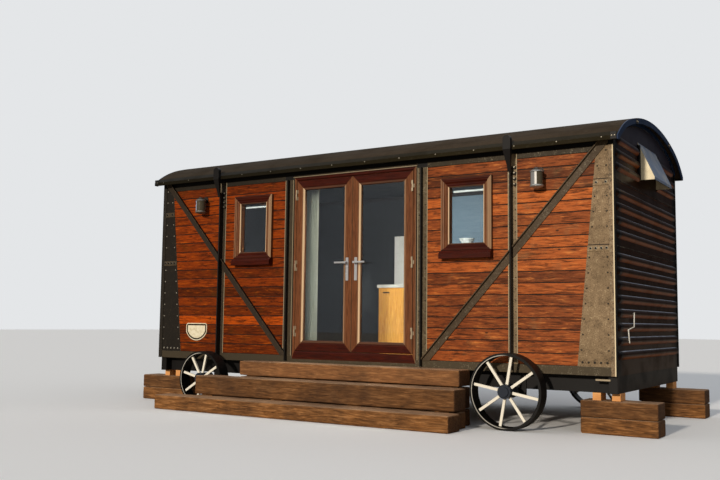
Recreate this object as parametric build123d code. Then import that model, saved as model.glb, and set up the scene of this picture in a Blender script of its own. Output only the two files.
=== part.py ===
"""A cabin made from the body of a ventilated railway van, in millimetres.

X runs along the body, +Y runs away from the doors, +Z is up. The ground is z = 0, and
the origin is the middle of the footprint. Left and right are as seen from the doors.
"""
import os
from math import asin, cos, hypot, sin, sqrt

from build123d import *

# Body shell; heights called level are measured up from its bottom edge
BODY_LENGTH = 5334.0
BODY_WIDTH = 2280.0
BODY_BOTTOM = 500.0
PLANK_TOP_LEVEL = 1942.0
SIDE_WALL = 70.0
END_WALL = 60.0
FLOOR_THICKNESS = 50.0
STEEL = 8.0
CANTRAIL_HEIGHT = 110.0
BOTTOM_RAIL_HEIGHT = 75.0
THRESHOLD_LEVEL = 40.0

# Roof, a three-centred arch: its crown above the boards, the fall from the crown to each knee
# and to the eave, and the run from the eave to the knee
ROOF_ABOVE_PLANKS = 443.0
CROWN_DROP = 124.0
EAVE_DROP = 337.0
HAUNCH_RUN = 394.0
ROOF_THICKNESS = 24.0
ROOF_OVERHANG = 75.0
EAVE_REACH = 82.0
FASCIA_THICKNESS = 22.0
FASCIA_HEIGHT = 35.0
ARCH_TRIM_DEPTH = 40.0
ARCH_TRIM_THICKNESS = 10.0
VERGE_DEPTH = 52.0
VERGE_THICKNESS = 10.0

# Stanchions, door posts and braces of rolled steel
STANCHION_OFF_MIDDLE = 5.0
DOOR_POST_GAP = 15.0
DOOR_POST_FLANGE = 110.0
DOOR_POST_DEPTH = 50.0
FLANGE_WIDTH = 90.0
STEM_THICKNESS = 12.0
STEM_DEPTH = 74.0
STEM_TOP_BELOW_PLANKS = 72.0
STEM_FOOT_LEVEL = 20.0
BRACE_WIDTH = 72.0
BRACE_LEG = 24.0
BRACE_TOP_INSET = 137.0
BRACE_TOP_ABOVE_PLANKS = 13.0
BRACE_FOOT_OUT = 70.0
BRACE_FOOT_LEVEL = 112.0
BRACE_GAP = 2.0

# Corner plates
GUSSET_TOP_WIDTH = 147.0
GUSSET_FOOT_WIDTH = 332.0
CORNER_ANGLE_LEG = 38.0
CORNER_ANGLE_THICKNESS = 6.0
CORNER_ANGLE_ABOVE_PLANKS = 93.0
JOINT_STRIP_HEIGHT = 52.0
JOINT_STRIP_THICKNESS = 6.0
JOINT_STRIP_LEVELS = (1066.0, 1640.0)

# Pressed end sheets
SHEET_THICKNESS = 4.0
SEAM_STRIP_HEIGHT = 34.0
RIB_WIDTH = 76.0
RIB_DEPTH = 24.0
RIB_MARGIN = 42.0
RIB_PITCH = 121.0
LOWER_RIBS = 8
MIDDLE_RIBS = 4
UPPER_RIBS = 3
FIRST_LOWER_RIB_LEVEL = 172.0
FIRST_MIDDLE_RIB_LEVEL = 1218.0
UPPER_RIBS_BELOW_CROWN = 573.0
LOWER_SEAM_LEVEL = 1112.0
UPPER_SEAM_LEVEL = 1695.0
ARCH_MARGIN = 60.0

# Ventilator hoods on the ends
HOOD_WIDTH = 675.0
HOOD_BELOW_CROWN = 232.0
HOOD_HEIGHT = 363.0
HOOD_REACH = 150.0
HOOD_SHEET = 5.0
HOOD_LIP = 26.0

# French doors
DOOR_FRAME_WIDTH = 1480.0
DOOR_FRAME_ABOVE_PLANKS = 21.0
DOOR_FRAME_MEMBER = 32.0
DOOR_FRAME_PROUD = 12.0
THRESHOLD_HEIGHT = 84.0
LEAF_THICKNESS = 46.0
LEAF_GAP = 5.0
LEAF_STILE = 100.0
LEAF_TOP_RAIL = 102.0
LEAF_BOTTOM_RAIL = 108.0
PANE_THICKNESS = 24.0
PANE_REBATE = 10.0
LOW_HINGE_LEVEL = 330.0
MIDDLE_HINGE_LEVEL = 1020.0
TOP_HINGE_BELOW_FRAME = 190.0
HINGE_HEIGHT = 108.0
HINGE_WIDTH = 18.0
HINGE_PLATE = 4.0
HINGE_SEAT = 2.0
KNUCKLE_RADIUS = 8.0
KNUCKLE_GAP = 0.5
HINGE_PIN_RADIUS = 3.5
PIN_GAP = 0.5
HANDLE_LEVEL = 1036.0
HANDLE_PLATE_HEIGHT = 236.0
HANDLE_PLATE_WIDTH = 32.0
HANDLE_PLATE_THICKNESS = 9.0
HANDLE_PLATE_ABOVE = 52.0
SPINDLE_RADIUS = 5.0
SPINDLE_DEPTH = 30.0
LEVER_BOSS_RADIUS = 12.0
LEVER_GAP = 0.3
LEVER_LENGTH = 128.0
LEVER_HEIGHT = 18.0
LEVER_THICKNESS = 12.0
LEVER_REACH = 46.0

# Windows
WINDOW_WIDTH = 522.0
WINDOW_OFF_MIDDLE = 10.0
WINDOW_TOP_BELOW_PLANKS = 132.0
WINDOW_FOOT_LEVEL = 1116.0
WINDOW_SIDE = 85.0
WINDOW_HEAD = 91.0
WINDOW_FOOT = 69.0
WINDOW_PROUD = 48.0
WINDOW_DEPTH = 90.0
SASH_WIDTH = 36.0
SASH_STEP = 14.0
WINDOW_PANE = 20.0
SILL_HORN = 6.0
SILL_HEIGHT = 76.0
SILL_PROUD = 78.0

# Brackets from the stanchions to the eaves: a rounded lug in front of each fascia
LUG_WIDTH = 74.0
LUG_DEPTH = 44.0
LUG_ABOVE_FASCIA_FOOT = 130.0
BRACKET_FOOT_WIDTH = 32.0
BRACKET_LAP = 56.0

# Lamps and number plate
LAMP_FROM_STANCHION = 266.0
LAMP_TOP_BELOW_PLANKS = 115.0
LAMP_HEIGHT = 188.0
LAMP_REACH = 92.0
LAMP_GLASS_RADIUS = 56.0
LAMP_GLASS_HEIGHT = 115.0
LAMP_HOOD_RADIUS = 64.0
LAMP_HOOD_HEIGHT = 41.0
LAMP_CAP_RADIUS = 24.0
LAMP_COWL_RADIUS = 32.0
LAMP_COWL_HEIGHT = 12.0
LAMP_LIP_TAPER = 6.0
LAMP_LIP_HEIGHT = 10.0
LAMP_RING_PROUD = 2.0
LAMP_RING_FLARE = 8.0
LAMP_RING_HEIGHT = 12.0
LAMP_RING_DEPTH = 20.0
LAMP_FOOT_RADIUS = 16.0
LAMP_ROSE_RADIUS = 38.0
LAMP_ROSE_THICKNESS = 14.0
LAMP_ARM_RADIUS = 8.0
PLATE_OFF_MIDDLE = 37.0
PLATE_WIDTH = 314.0
PLATE_TOP_LEVEL = 401.0
PLATE_HEIGHT = 196.0
PLATE_CORNER = 30.0
PLATE_THICKNESS = 8.0

# Underframe
SOLEBAR_DEPTH = 150.0
SOLEBAR_FLANGE = 80.0
SOLEBAR_WEB = 12.0
SOLEBAR_RECESS = 120.0
HEADSTOCK_THICKNESS = 75.0
HEADSTOCK_INSET = 30.0
AXLE_PLATE_WIDTH = 150.0
AXLE_PLATE_THICKNESS = 16.0
AXLE_PLATE_BELOW = 60.0
AXLE_RADIUS = 24.0
AXLE_GAP = 0.3

# Wheels
WHEEL_FACE_REACH = 215.0
WHEEL_STEM_GAP = 3.0
RIM_THICKNESS = 24.0
HUB_RADIUS = 62.0
HUB_PROUD = 12.0
HUB_BACK = 30.0
CAP_RADIUS = 44.0
CAP_THICKNESS = 16.0
SPOKES = 8
SPOKE_WIDTH = 24.0
SPOKE_THICKNESS = 18.0
SPOKE_INSET = 26.0
LEFT_WHEEL_FROM_STANCHION = 96.0
LEFT_WHEEL_RADIUS = 297.0
LEFT_WHEEL_TURN = 13.0
RIGHT_WHEEL_FROM_STANCHION = 2.0
RIGHT_WHEEL_RADIUS = 338.0
RIGHT_WHEEL_TURN = 10.0

# Timber below the corners
BEARER_LENGTH = 660.0
BEARER_BEYOND_END = 323.0
BEARER_WIDTH = 250.0
BEARER_TOP = 285.0
BEARER_COURSES = 2
BEARER_RECESS = 60.0
BLOCK_WIDTH = 72.0
BLOCK_DEPTH = 150.0
BLOCK_RECESS = 100.0
BLOCK_INSETS = (201.0, 33.0)

# Sleeper steps: the row by the wall keeps clear of the wheels, each row runs past it by its own
# two lengths, and each course up has its foot and top
STEP_FROM_LEFT_WHEEL = 293.0
STEP_FROM_RIGHT_WHEEL = 87.0
ROWS_BEYOND = ((0.0, 0.0), (400.0, 70.0), (750.0, 130.0))
COURSES = ((0.0, 148.0), (158.0, 351.0), (360.0, 510.0))
SLEEPER_WIDTH = 240.0
SLEEPER_GAP = 0.3
STEP_ROUNDING = 14.0
PACKER_INSET = 40.0
PACKER_WIDTH = 140.0
PACKERS = 4

# Inside
CURTAIN_FROM_JAMB = 27.0
CURTAIN_WIDTH = 190.0
CURTAIN_DEPTH = 60.0
CURTAIN_FLOOR_GAP = 148.0
RAIL_ABOVE_DOOR_FRAME = 47.0
RAIL_RADIUS = 12.0
RAIL_BEYOND_DOOR_FRAME = 38.0
RAIL_STANDOFF = 75.0
UNIT_LEFT = -655.0
UNIT_WIDTH = 1200.0
UNIT_DEPTH = 580.0
UNIT_HEIGHT = 800.0
WORKTOP_THICKNESS = 38.0
WORKTOP_OVERHANG = 20.0

# Levels worked out from the top of the boards
ROOF_RISE = PLANK_TOP_LEVEL + ROOF_ABOVE_PLANKS
FASCIA_LEVEL = ROOF_RISE - EAVE_DROP - FASCIA_HEIGHT
LUG_TOP_LEVEL = FASCIA_LEVEL + LUG_ABOVE_FASCIA_FOOT
CANTRAIL_TOP_LEVEL = PLANK_TOP_LEVEL + CANTRAIL_HEIGHT
STEM_TOP_LEVEL = PLANK_TOP_LEVEL - STEM_TOP_BELOW_PLANKS
BRACE_TOP_LEVEL = PLANK_TOP_LEVEL + BRACE_TOP_ABOVE_PLANKS
CORNER_ANGLE_TOP_LEVEL = PLANK_TOP_LEVEL + CORNER_ANGLE_ABOVE_PLANKS
FIRST_UPPER_RIB_LEVEL = ROOF_RISE - UPPER_RIBS_BELOW_CROWN
HOOD_TOP_LEVEL = ROOF_RISE - HOOD_BELOW_CROWN
HOOD_FOOT_LEVEL = HOOD_TOP_LEVEL - HOOD_HEIGHT
DOOR_FRAME_TOP_LEVEL = PLANK_TOP_LEVEL + DOOR_FRAME_ABOVE_PLANKS
HINGE_LEVELS = (LOW_HINGE_LEVEL, MIDDLE_HINGE_LEVEL, DOOR_FRAME_TOP_LEVEL - TOP_HINGE_BELOW_FRAME)
WINDOW_TOP_LEVEL = PLANK_TOP_LEVEL - WINDOW_TOP_BELOW_PLANKS
LAMP_TOP_LEVEL = PLANK_TOP_LEVEL - LAMP_TOP_BELOW_PLANKS
RAIL_LEVEL = DOOR_FRAME_TOP_LEVEL + RAIL_ABOVE_DOOR_FRAME

# Places along the body
HALF_LENGTH = BODY_LENGTH / 2
DOOR_POST_X = DOOR_FRAME_WIDTH / 2 + DOOR_POST_GAP + DOOR_POST_FLANGE / 2
STANCHION_X = (DOOR_POST_X + HALF_LENGTH) / 2 + STANCHION_OFF_MIDDLE
WINDOW_X = (DOOR_POST_X + STANCHION_X) / 2 + WINDOW_OFF_MIDDLE
SILL_WIDTH = WINDOW_WIDTH + 2 * SILL_HORN
BRACE_TOP_X = HALF_LENGTH - BRACE_TOP_INSET
BRACE_FOOT_X = DOOR_POST_X + BRACE_FOOT_OUT
LAMP_X = STANCHION_X + LAMP_FROM_STANCHION
PLATE_X = (STANCHION_X + FLANGE_WIDTH / 2 + HALF_LENGTH - GUSSET_FOOT_WIDTH) / 2 + PLATE_OFF_MIDDLE
LEFT_WHEEL_X = STANCHION_X + LEFT_WHEEL_FROM_STANCHION
RIGHT_WHEEL_X = STANCHION_X + RIGHT_WHEEL_FROM_STANCHION
BEARER_END = HALF_LENGTH + BEARER_BEYOND_END
NEAR_ROW_LEFT = LEFT_WHEEL_RADIUS + STEP_FROM_LEFT_WHEEL - LEFT_WHEEL_X
NEAR_ROW_RIGHT = RIGHT_WHEEL_X - RIGHT_WHEEL_RADIUS - STEP_FROM_RIGHT_WHEEL
ROW_ENDS = [(NEAR_ROW_LEFT - left, NEAR_ROW_RIGHT + right) for left, right in ROWS_BEYOND]
RAIL_HALF_LENGTH = DOOR_FRAME_WIDTH / 2 + RAIL_BEYOND_DOOR_FRAME
CURTAIN_X = CURTAIN_FROM_JAMB + CURTAIN_WIDTH / 2 - DOOR_FRAME_WIDTH / 2

# Places across the body and round the roof arch
STEP_WALL_GAP = STEEL + SLEEPER_GAP
STEP_REACH = STEP_WALL_GAP + len(ROW_ENDS) * (SLEEPER_WIDTH + SLEEPER_GAP) - SLEEPER_GAP
FRONT = (STEP_REACH - WHEEL_FACE_REACH - HUB_PROUD - CAP_THICKNESS - BODY_WIDTH) / 2
REAR = FRONT + BODY_WIDTH
MIDDLE = (FRONT + REAR) / 2
HALF_WIDTH = BODY_WIDTH / 2
TREAD_WIDTH = WHEEL_FACE_REACH - STEM_DEPTH - WHEEL_STEM_GAP
SHEET_FACE = HALF_LENGTH + SHEET_THICKNESS
FLOOR_TOP = BODY_BOTTOM + FLOOR_THICKNESS
INSIDE = FRONT + SIDE_WALL
ROOF_TOP = BODY_BOTTOM + ROOF_RISE
ROOF_HALF_SPAN = HALF_WIDTH + EAVE_REACH
FASCIA_HALF_SPAN = ROOF_HALF_SPAN + FASCIA_THICKNESS
VERGE_FACE = HALF_LENGTH + ROOF_OVERHANG
ROOF_HALF_LENGTH = VERGE_FACE - VERGE_THICKNESS
CROWN_HALF_SPAN = FASCIA_HALF_SPAN - HAUNCH_RUN
CROWN_RADIUS = (CROWN_HALF_SPAN**2 + CROWN_DROP**2) / (2 * CROWN_DROP)
CROWN_ANGLE = asin(CROWN_HALF_SPAN / CROWN_RADIUS)
HAUNCH_DROP = EAVE_DROP - CROWN_DROP
HAUNCH_RADIUS = (HAUNCH_RUN**2 + HAUNCH_DROP**2) / (
    2 * (HAUNCH_DROP * cos(CROWN_ANGLE) - HAUNCH_RUN * sin(CROWN_ANGLE))
)
CROWN_CENTRE = ROOF_TOP - CROWN_RADIUS
HAUNCH_OUT = CROWN_HALF_SPAN - HAUNCH_RADIUS * sin(CROWN_ANGLE)
HAUNCH_UP = CROWN_CENTRE + (CROWN_RADIUS - HAUNCH_RADIUS) * cos(CROWN_ANGLE)
FRAME_FACE = FRONT - DOOR_FRAME_PROUD
LEAF_EDGE = DOOR_FRAME_WIDTH / 2 - DOOR_FRAME_MEMBER - LEAF_GAP
PIVOT_X = LEAF_EDGE + LEAF_GAP / 2
PIVOT_Y = FRAME_FACE - HINGE_PLATE - KNUCKLE_RADIUS + HINGE_SEAT
HANDLE_X = LEAF_GAP / 2 + LEAF_STILE / 2


def level(height):
    """The height above ground of something measured from the body's bottom edge."""
    return BODY_BOTTOM + height


def block(x0, x1, y0, y1, z0, z1):
    """A rectangular piece between opposite corners."""
    return Pos((x0 + x1) / 2, (y0 + y1) / 2, (z0 + z1) / 2) * Box(x1 - x0, y1 - y0, z1 - z0)


def plate(points, thickness, direction):
    """A flat plate with a straight-sided outline, thickened along a direction."""
    return extrude(make_face(Polyline(*points, close=True)), amount=thickness, dir=direction)


def rod(start, end, radius):
    """A round bar between two points."""
    run = Vector(*end) - Vector(*start)
    return extrude(Plane(start, z_dir=run) * Circle(radius), amount=run.length)


def turned(profile, place):
    """A shape turned about an upright line through a place, from radii and heights."""
    points = [(place[0] + radius, place[1], height) for radius, height in profile]
    face = make_face(Polyline(*points, close=True))
    return revolve(face, axis=Axis((place[0], place[1], 0), (0, 0, 1)))


def arch_height(span, inset=0.0):
    """Height of the roof arch, moved inwards, at a distance from the middle."""
    crown, haunch = CROWN_RADIUS - inset, HAUNCH_RADIUS - inset
    if abs(span) <= crown * sin(CROWN_ANGLE):
        return CROWN_CENTRE + sqrt(crown**2 - span**2)
    return HAUNCH_UP + sqrt(haunch**2 - (abs(span) - HAUNCH_OUT) ** 2)


def arch_curve(half_span, inset=0.0):
    """The roof's outline in the YZ plane, moved inwards, from eave to eave."""
    crown, haunch = CROWN_RADIUS - inset, HAUNCH_RADIUS - inset
    shoulder = crown * sin(CROWN_ANGLE)
    bend = (CROWN_ANGLE + asin((half_span - HAUNCH_OUT) / haunch)) / 2
    out, up = HAUNCH_OUT + haunch * sin(bend), HAUNCH_UP + haunch * cos(bend)
    eave, knee = arch_height(half_span, inset), arch_height(shoulder, inset)
    ends = {side: (0, MIDDLE + side * half_span, eave) for side in (-1, 1)}
    knees = {side: (0, MIDDLE + side * shoulder, knee) for side in (-1, 1)}
    bends = {side: (0, MIDDLE + side * out, up) for side in (-1, 1)}
    return [
        ThreePointArc(ends[-1], bends[-1], knees[-1]),
        ThreePointArc(knees[-1], (0, MIDDLE, ROOF_TOP - inset), knees[1]),
        ThreePointArc(knees[1], bends[1], ends[1]),
    ]


def arch_face(half_span, inset, foot):
    """The face under the roof arch, down to a level foot."""
    eave = arch_height(half_span, inset)
    low, high = MIDDLE - half_span, MIDDLE + half_span
    sides = Polyline((0, high, eave), (0, high, foot), (0, low, foot), (0, low, eave))
    return make_face(arch_curve(half_span, inset) + sides.edges())


def along_x(face, x0, x1):
    """A face of the YZ plane carried from x0 to x1."""
    return Pos(x0, 0, 0) * extrude(face, amount=x1 - x0, dir=(1, 0, 0))


def arch_shell(half_span, outer, inner, x0, x1):
    """The shell between the roof arch at two insets."""
    solid = along_x(arch_face(half_span, outer, BODY_BOTTOM), x0, x1)
    return solid - along_x(arch_face(half_span + 1, inner, BODY_BOTTOM - 1), x0 - 1, x1 + 1)


def on_both_sides(pieces):
    """Pieces of the front with their twins on the rear."""
    return pieces + [mirror(piece, Plane((0, MIDDLE, 0), z_dir=(0, 1, 0))) for piece in pieces]


def at_both_ends(pieces):
    """Pieces of the right end with their twins on the left."""
    return pieces + [mirror(piece, Plane.YZ) for piece in pieces]


def make_floor():
    """The floor between the walls, run out below the door frame."""
    x, half = HALF_LENGTH - END_WALL, DOOR_FRAME_WIDTH / 2
    boards = block(-x, x, INSIDE, REAR - SIDE_WALL, BODY_BOTTOM, FLOOR_TOP)
    return boards + block(-half, half, FRONT, INSIDE, BODY_BOTTOM, level(THRESHOLD_LEVEL))


def side_slab(x0, x1, z0, y0):
    """A length of side wall whose top follows the underside of the roof."""
    slab = block(x0, x1, y0, y0 + SIDE_WALL, z0, ROOF_TOP)
    return slab & along_x(arch_face(HALF_WIDTH + 1, ROOF_THICKNESS, BODY_BOTTOM), x0, x1)


def make_front_wall():
    """The boarded wall right of the doors, with its window opening."""
    wall = side_slab(DOOR_FRAME_WIDTH / 2, HALF_LENGTH - END_WALL, BODY_BOTTOM, FRONT)
    half = WINDOW_WIDTH / 2
    low, high = level(WINDOW_FOOT_LEVEL), level(WINDOW_TOP_LEVEL)
    return wall - block(WINDOW_X - half, WINDOW_X + half, FRONT - 1, INSIDE + 1, low, high)


def make_wall_over_door():
    """The short length of wall above the door frame."""
    half = DOOR_FRAME_WIDTH / 2
    return side_slab(-half, half, level(DOOR_FRAME_TOP_LEVEL), FRONT)


def make_rear_wall():
    """The unbroken wall behind."""
    outer = HALF_LENGTH - END_WALL
    return side_slab(-outer, outer, BODY_BOTTOM, REAR - SIDE_WALL)


def make_end_wall():
    """The right end's lining and frame, under the arch."""
    face = arch_face(HALF_WIDTH, ROOF_THICKNESS, BODY_BOTTOM)
    return along_x(face, HALF_LENGTH - END_WALL, HALF_LENGTH)


def rib_half_length(z):
    """Half a rib's straight run: to the corner margins, or to the arch if that is nearer."""
    half = RIB_WIDTH / 2
    inset = ROOF_THICKNESS + ARCH_MARGIN
    low, high = 0.0, HALF_WIDTH - RIB_MARGIN
    if arch_height(high, inset) > z + half:
        return high - half
    while high - low > 1:
        guess = (low + high) / 2
        if arch_height(guess, inset) > z + half:
            low = guess
        else:
            high = guess
    return low - half


def make_rib(z):
    """One pressed rib of the right end: a shallow half-round with rounded noses."""
    half, reach = RIB_WIDTH / 2, rib_half_length(z)
    radius = (half**2 + RIB_DEPTH**2) / (2 * RIB_DEPTH)
    centre = SHEET_FACE + RIB_DEPTH - radius
    shape = rod((centre, MIDDLE - reach, z), (centre, MIDDLE + reach, z), radius)
    for side in (-1, 1):
        shape = shape + Pos(centre, MIDDLE + side * reach, z) * Sphere(radius)
    room = reach + half + 1
    outside = block(SHEET_FACE, SHEET_FACE + RIB_DEPTH + 1, MIDDLE - room, MIDDLE + room, z - half, z + half)
    return shape & outside


def make_end_sheets():
    """The pressed sheets of the right end with their ribs and seam strips, and the plain one
    behind the hood."""
    face = arch_face(HALF_WIDTH, ROOF_THICKNESS, BODY_BOTTOM)
    sheet = along_x(face, HALF_LENGTH, SHEET_FACE)
    groups = (
        (FIRST_LOWER_RIB_LEVEL, LOWER_RIBS),
        (FIRST_MIDDLE_RIB_LEVEL, MIDDLE_RIBS),
        (FIRST_UPPER_RIB_LEVEL, UPPER_RIBS),
    )
    ribs = [make_rib(level(first + index * RIB_PITCH)) for first, count in groups for index in range(count)]
    strips = [
        block(
            SHEET_FACE, SHEET_FACE + SHEET_THICKNESS, FRONT + RIB_MARGIN, REAR - RIB_MARGIN,
            level(seam) - SEAM_STRIP_HEIGHT / 2, level(seam) + SEAM_STRIP_HEIGHT / 2,
        )
        for seam in (LOWER_SEAM_LEVEL, UPPER_SEAM_LEVEL)
    ]
    pressed = sheet + ribs + strips
    half, seam_top = HOOD_WIDTH / 2, level(UPPER_SEAM_LEVEL) + SEAM_STRIP_HEIGHT / 2
    outer = SHEET_FACE + RIB_DEPTH + 1
    lower = pressed & block(HALF_LENGTH, outer, FRONT, REAR, BODY_BOTTOM, seam_top)
    near = pressed & block(HALF_LENGTH, outer, FRONT, MIDDLE - half, seam_top, ROOF_TOP)
    far = pressed & block(HALF_LENGTH, outer, MIDDLE + half, REAR, seam_top, ROOF_TOP)
    plain = sheet & block(HALF_LENGTH, outer, MIDDLE - half, MIDDLE + half, seam_top, ROOF_TOP)
    return [lower, near, plain, far]


def hood_outline(inset):
    """The hood's side outline, moved inwards by its sheet."""
    x, lip = SHEET_FACE + HOOD_REACH - inset, level(HOOD_FOOT_LEVEL) + HOOD_LIP
    rise = HOOD_TOP_LEVEL - HOOD_FOOT_LEVEL - HOOD_LIP
    drop = inset * hypot(HOOD_REACH, rise) / HOOD_REACH
    slope_at_x = level(HOOD_TOP_LEVEL) - drop - rise * (HOOD_REACH - inset) / HOOD_REACH
    foot = level(HOOD_FOOT_LEVEL) - inset
    y = MIDDLE - HOOD_WIDTH / 2 + inset
    lip = min(lip, slope_at_x) if inset else lip
    return [(SHEET_FACE, y, foot), (x, y, foot), (x, y, lip), (SHEET_FACE, y, level(HOOD_TOP_LEVEL) - drop)]


def make_hood():
    """The right end's sheet-metal ventilator hood, open below."""
    body = plate(hood_outline(0), HOOD_WIDTH, (0, 1, 0))
    return body - plate(hood_outline(HOOD_SHEET), HOOD_WIDTH - 2 * HOOD_SHEET, (0, 1, 0))


def make_roof():
    """The arched roof."""
    return arch_shell(ROOF_HALF_SPAN, 0, ROOF_THICKNESS, -ROOF_HALF_LENGTH, ROOF_HALF_LENGTH)


def make_fascia():
    """The board along the front eave, its top in line with the roof."""
    x, y = ROOF_HALF_LENGTH, MIDDLE - ROOF_HALF_SPAN
    board = block(-x, x, y - FASCIA_THICKNESS, y, level(FASCIA_LEVEL), ROOF_TOP)
    return board & along_x(arch_face(FASCIA_HALF_SPAN + 1, 0, BODY_BOTTOM), -x, x)


def make_arch_trim():
    """The metal band on the right end sheet, up against the roof."""
    inner = ROOF_THICKNESS + ARCH_TRIM_DEPTH
    band = arch_shell(HALF_WIDTH, ROOF_THICKNESS, inner, SHEET_FACE, SHEET_FACE + ARCH_TRIM_THICKNESS)
    return band & block(0, ROOF_HALF_LENGTH, FRONT, REAR, level(CORNER_ANGLE_TOP_LEVEL), ROOF_TOP)


def make_verge():
    """The metal band across the right ends of the roof and the fascias, to their outline."""
    low, high = MIDDLE - FASCIA_HALF_SPAN, MIDDLE + FASCIA_HALF_SPAN
    foot = level(FASCIA_LEVEL)
    whole = along_x(arch_face(FASCIA_HALF_SPAN, 0, foot), ROOF_HALF_LENGTH, VERGE_FACE)
    inside = arch_face(ROOF_HALF_SPAN - VERGE_DEPTH / 2, VERGE_DEPTH, foot - 1)
    band = whole - along_x(inside, ROOF_HALF_LENGTH - 1, VERGE_FACE + 1)
    return band & block(ROOF_HALF_LENGTH, VERGE_FACE, low, high, foot, ROOF_TOP)


def make_tee(x, width, depth, top):
    """A T-section post on the front: a flange on the boards and a stem outwards."""
    half, stem = width / 2, STEM_THICKNESS / 2
    low, high = level(BOTTOM_RAIL_HEIGHT), level(CANTRAIL_TOP_LEVEL)
    flange = block(x - half, x + half, FRONT - STEEL, FRONT, low, high)
    web = block(x - stem, x + stem, FRONT - depth, FRONT - STEEL, level(STEM_FOOT_LEVEL), top)
    return flange + web


def make_cantrail():
    """The plate along the top of the front wall, in lengths between the posts and corner plates."""
    low, high, outer = level(PLANK_TOP_LEVEL), level(CANTRAIL_TOP_LEVEL), HALF_LENGTH - GUSSET_TOP_WIDTH
    bar = block(-outer, outer, FRONT - STEEL, FRONT, low, high)
    half, head = DOOR_FRAME_WIDTH / 2, level(DOOR_FRAME_TOP_LEVEL)
    bar = bar - block(-half, half, FRONT - STEEL - 1, FRONT + 1, low - 1, head)
    for x, width in ((DOOR_POST_X, DOOR_POST_FLANGE), (STANCHION_X, FLANGE_WIDTH)):
        post = block(x - width / 2, x + width / 2, FRONT - STEEL - 1, FRONT + 1, low - 1, high + 1)
        bar = bar - post - mirrored(post)
    return bar


def make_bottom_rail():
    """The steel strip along the foot of the front wall, lower under the doors."""
    top = level(BOTTOM_RAIL_HEIGHT)
    bar = block(-HALF_LENGTH, HALF_LENGTH, FRONT - STEEL, FRONT, BODY_BOTTOM, top)
    half = DOOR_FRAME_WIDTH / 2
    return bar - block(-half, half, FRONT - STEEL - 1, FRONT + 1, level(THRESHOLD_LEVEL), top + 1)


def make_gusset():
    """The tapered plate at the front right corner, with its joint strips."""
    foot, neck, top = level(BOTTOM_RAIL_HEIGHT), level(PLANK_TOP_LEVEL), level(CANTRAIL_TOP_LEVEL)
    y, outer, inner = FRONT - STEEL, HALF_LENGTH, HALF_LENGTH - GUSSET_TOP_WIDTH
    points = [
        (outer, y, foot),
        (outer, y, top),
        (inner, y, top),
        (inner, y, neck),
        (outer - GUSSET_FOOT_WIDTH, y, foot),
    ]
    return plate(points, STEEL, (0, 1, 0)) + make_joint_strips()


def make_joint_strips():
    """The two bolted strips across the front right corner plate."""
    inner = HALF_LENGTH - CORNER_ANGLE_LEG
    slope = (GUSSET_FOOT_WIDTH - GUSSET_TOP_WIDTH) / (PLANK_TOP_LEVEL - BOTTOM_RAIL_HEIGHT)
    strips = []
    for low in JOINT_STRIP_LEVELS:
        ends = (low, low + JOINT_STRIP_HEIGHT)
        widths = [GUSSET_TOP_WIDTH + (PLANK_TOP_LEVEL - height) * slope for height in ends]
        y = FRONT - STEEL - JOINT_STRIP_THICKNESS
        points = [
            (HALF_LENGTH - widths[0], y, level(low)),
            (inner, y, level(low)),
            (inner, y, level(low + JOINT_STRIP_HEIGHT)),
            (HALF_LENGTH - widths[1], y, level(low + JOINT_STRIP_HEIGHT)),
        ]
        strips.append(plate(points, JOINT_STRIP_THICKNESS, (0, 1, 0)))
    return strips


def make_corner_angle():
    """The angle that wraps the front right corner, over the plate and the end sheet."""
    y, leg = FRONT - STEEL - CORNER_ANGLE_THICKNESS, CORNER_ANGLE_LEG
    outer = SHEET_FACE + CORNER_ANGLE_THICKNESS
    points = [
        (HALF_LENGTH - leg, y, BODY_BOTTOM),
        (outer, y, BODY_BOTTOM),
        (outer, FRONT + leg - STEEL, BODY_BOTTOM),
        (SHEET_FACE, FRONT + leg - STEEL, BODY_BOTTOM),
        (SHEET_FACE, FRONT - STEEL, BODY_BOTTOM),
        (HALF_LENGTH - leg, FRONT - STEEL, BODY_BOTTOM),
    ]
    return plate(points, CORNER_ANGLE_TOP_LEVEL, (0, 0, 1))


def brace_length(low_x, high_x):
    """A length of the right-hand diagonal brace between two upright cuts."""
    run, rise = BRACE_TOP_X - BRACE_FOOT_X, BRACE_TOP_LEVEL - BRACE_FOOT_LEVEL
    tilt = hypot(run, rise)
    half = BRACE_WIDTH / 2 * tilt / run
    leg = STEEL * tilt / run
    y = FRONT - 2 * STEEL

    def bar(below, above, front):
        """The part of the brace between two heights off its middle line."""
        corners = []
        for x, offset in ((low_x, below), (high_x, below), (high_x, above), (low_x, above)):
            middle = BRACE_FOOT_LEVEL + (x - BRACE_FOOT_X) * rise / run
            corners.append((x, front, level(middle + offset)))
        return plate(corners, FRONT - STEEL - front, (0, 1, 0))

    flat = bar(-half, half, y)
    return flat + bar(half - leg, half, y - BRACE_LEG)


def make_braces():
    """Both lengths of the front right brace, either side of the stanchion's stem."""
    past_stem = STEM_THICKNESS / 2 + BRACE_GAP
    lower = brace_length(DOOR_POST_X + past_stem, STANCHION_X - past_stem)
    upper = brace_length(STANCHION_X + past_stem, HALF_LENGTH - CORNER_ANGLE_LEG - BRACE_GAP)
    low, high = level(BOTTOM_RAIL_HEIGHT), level(CORNER_ANGLE_TOP_LEVEL)
    room = block(0, HALF_LENGTH, FRONT - STEM_DEPTH, FRONT, low, high)
    strips = Part() + make_joint_strips()
    return [lower & room, (upper & room) - strips]


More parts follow.
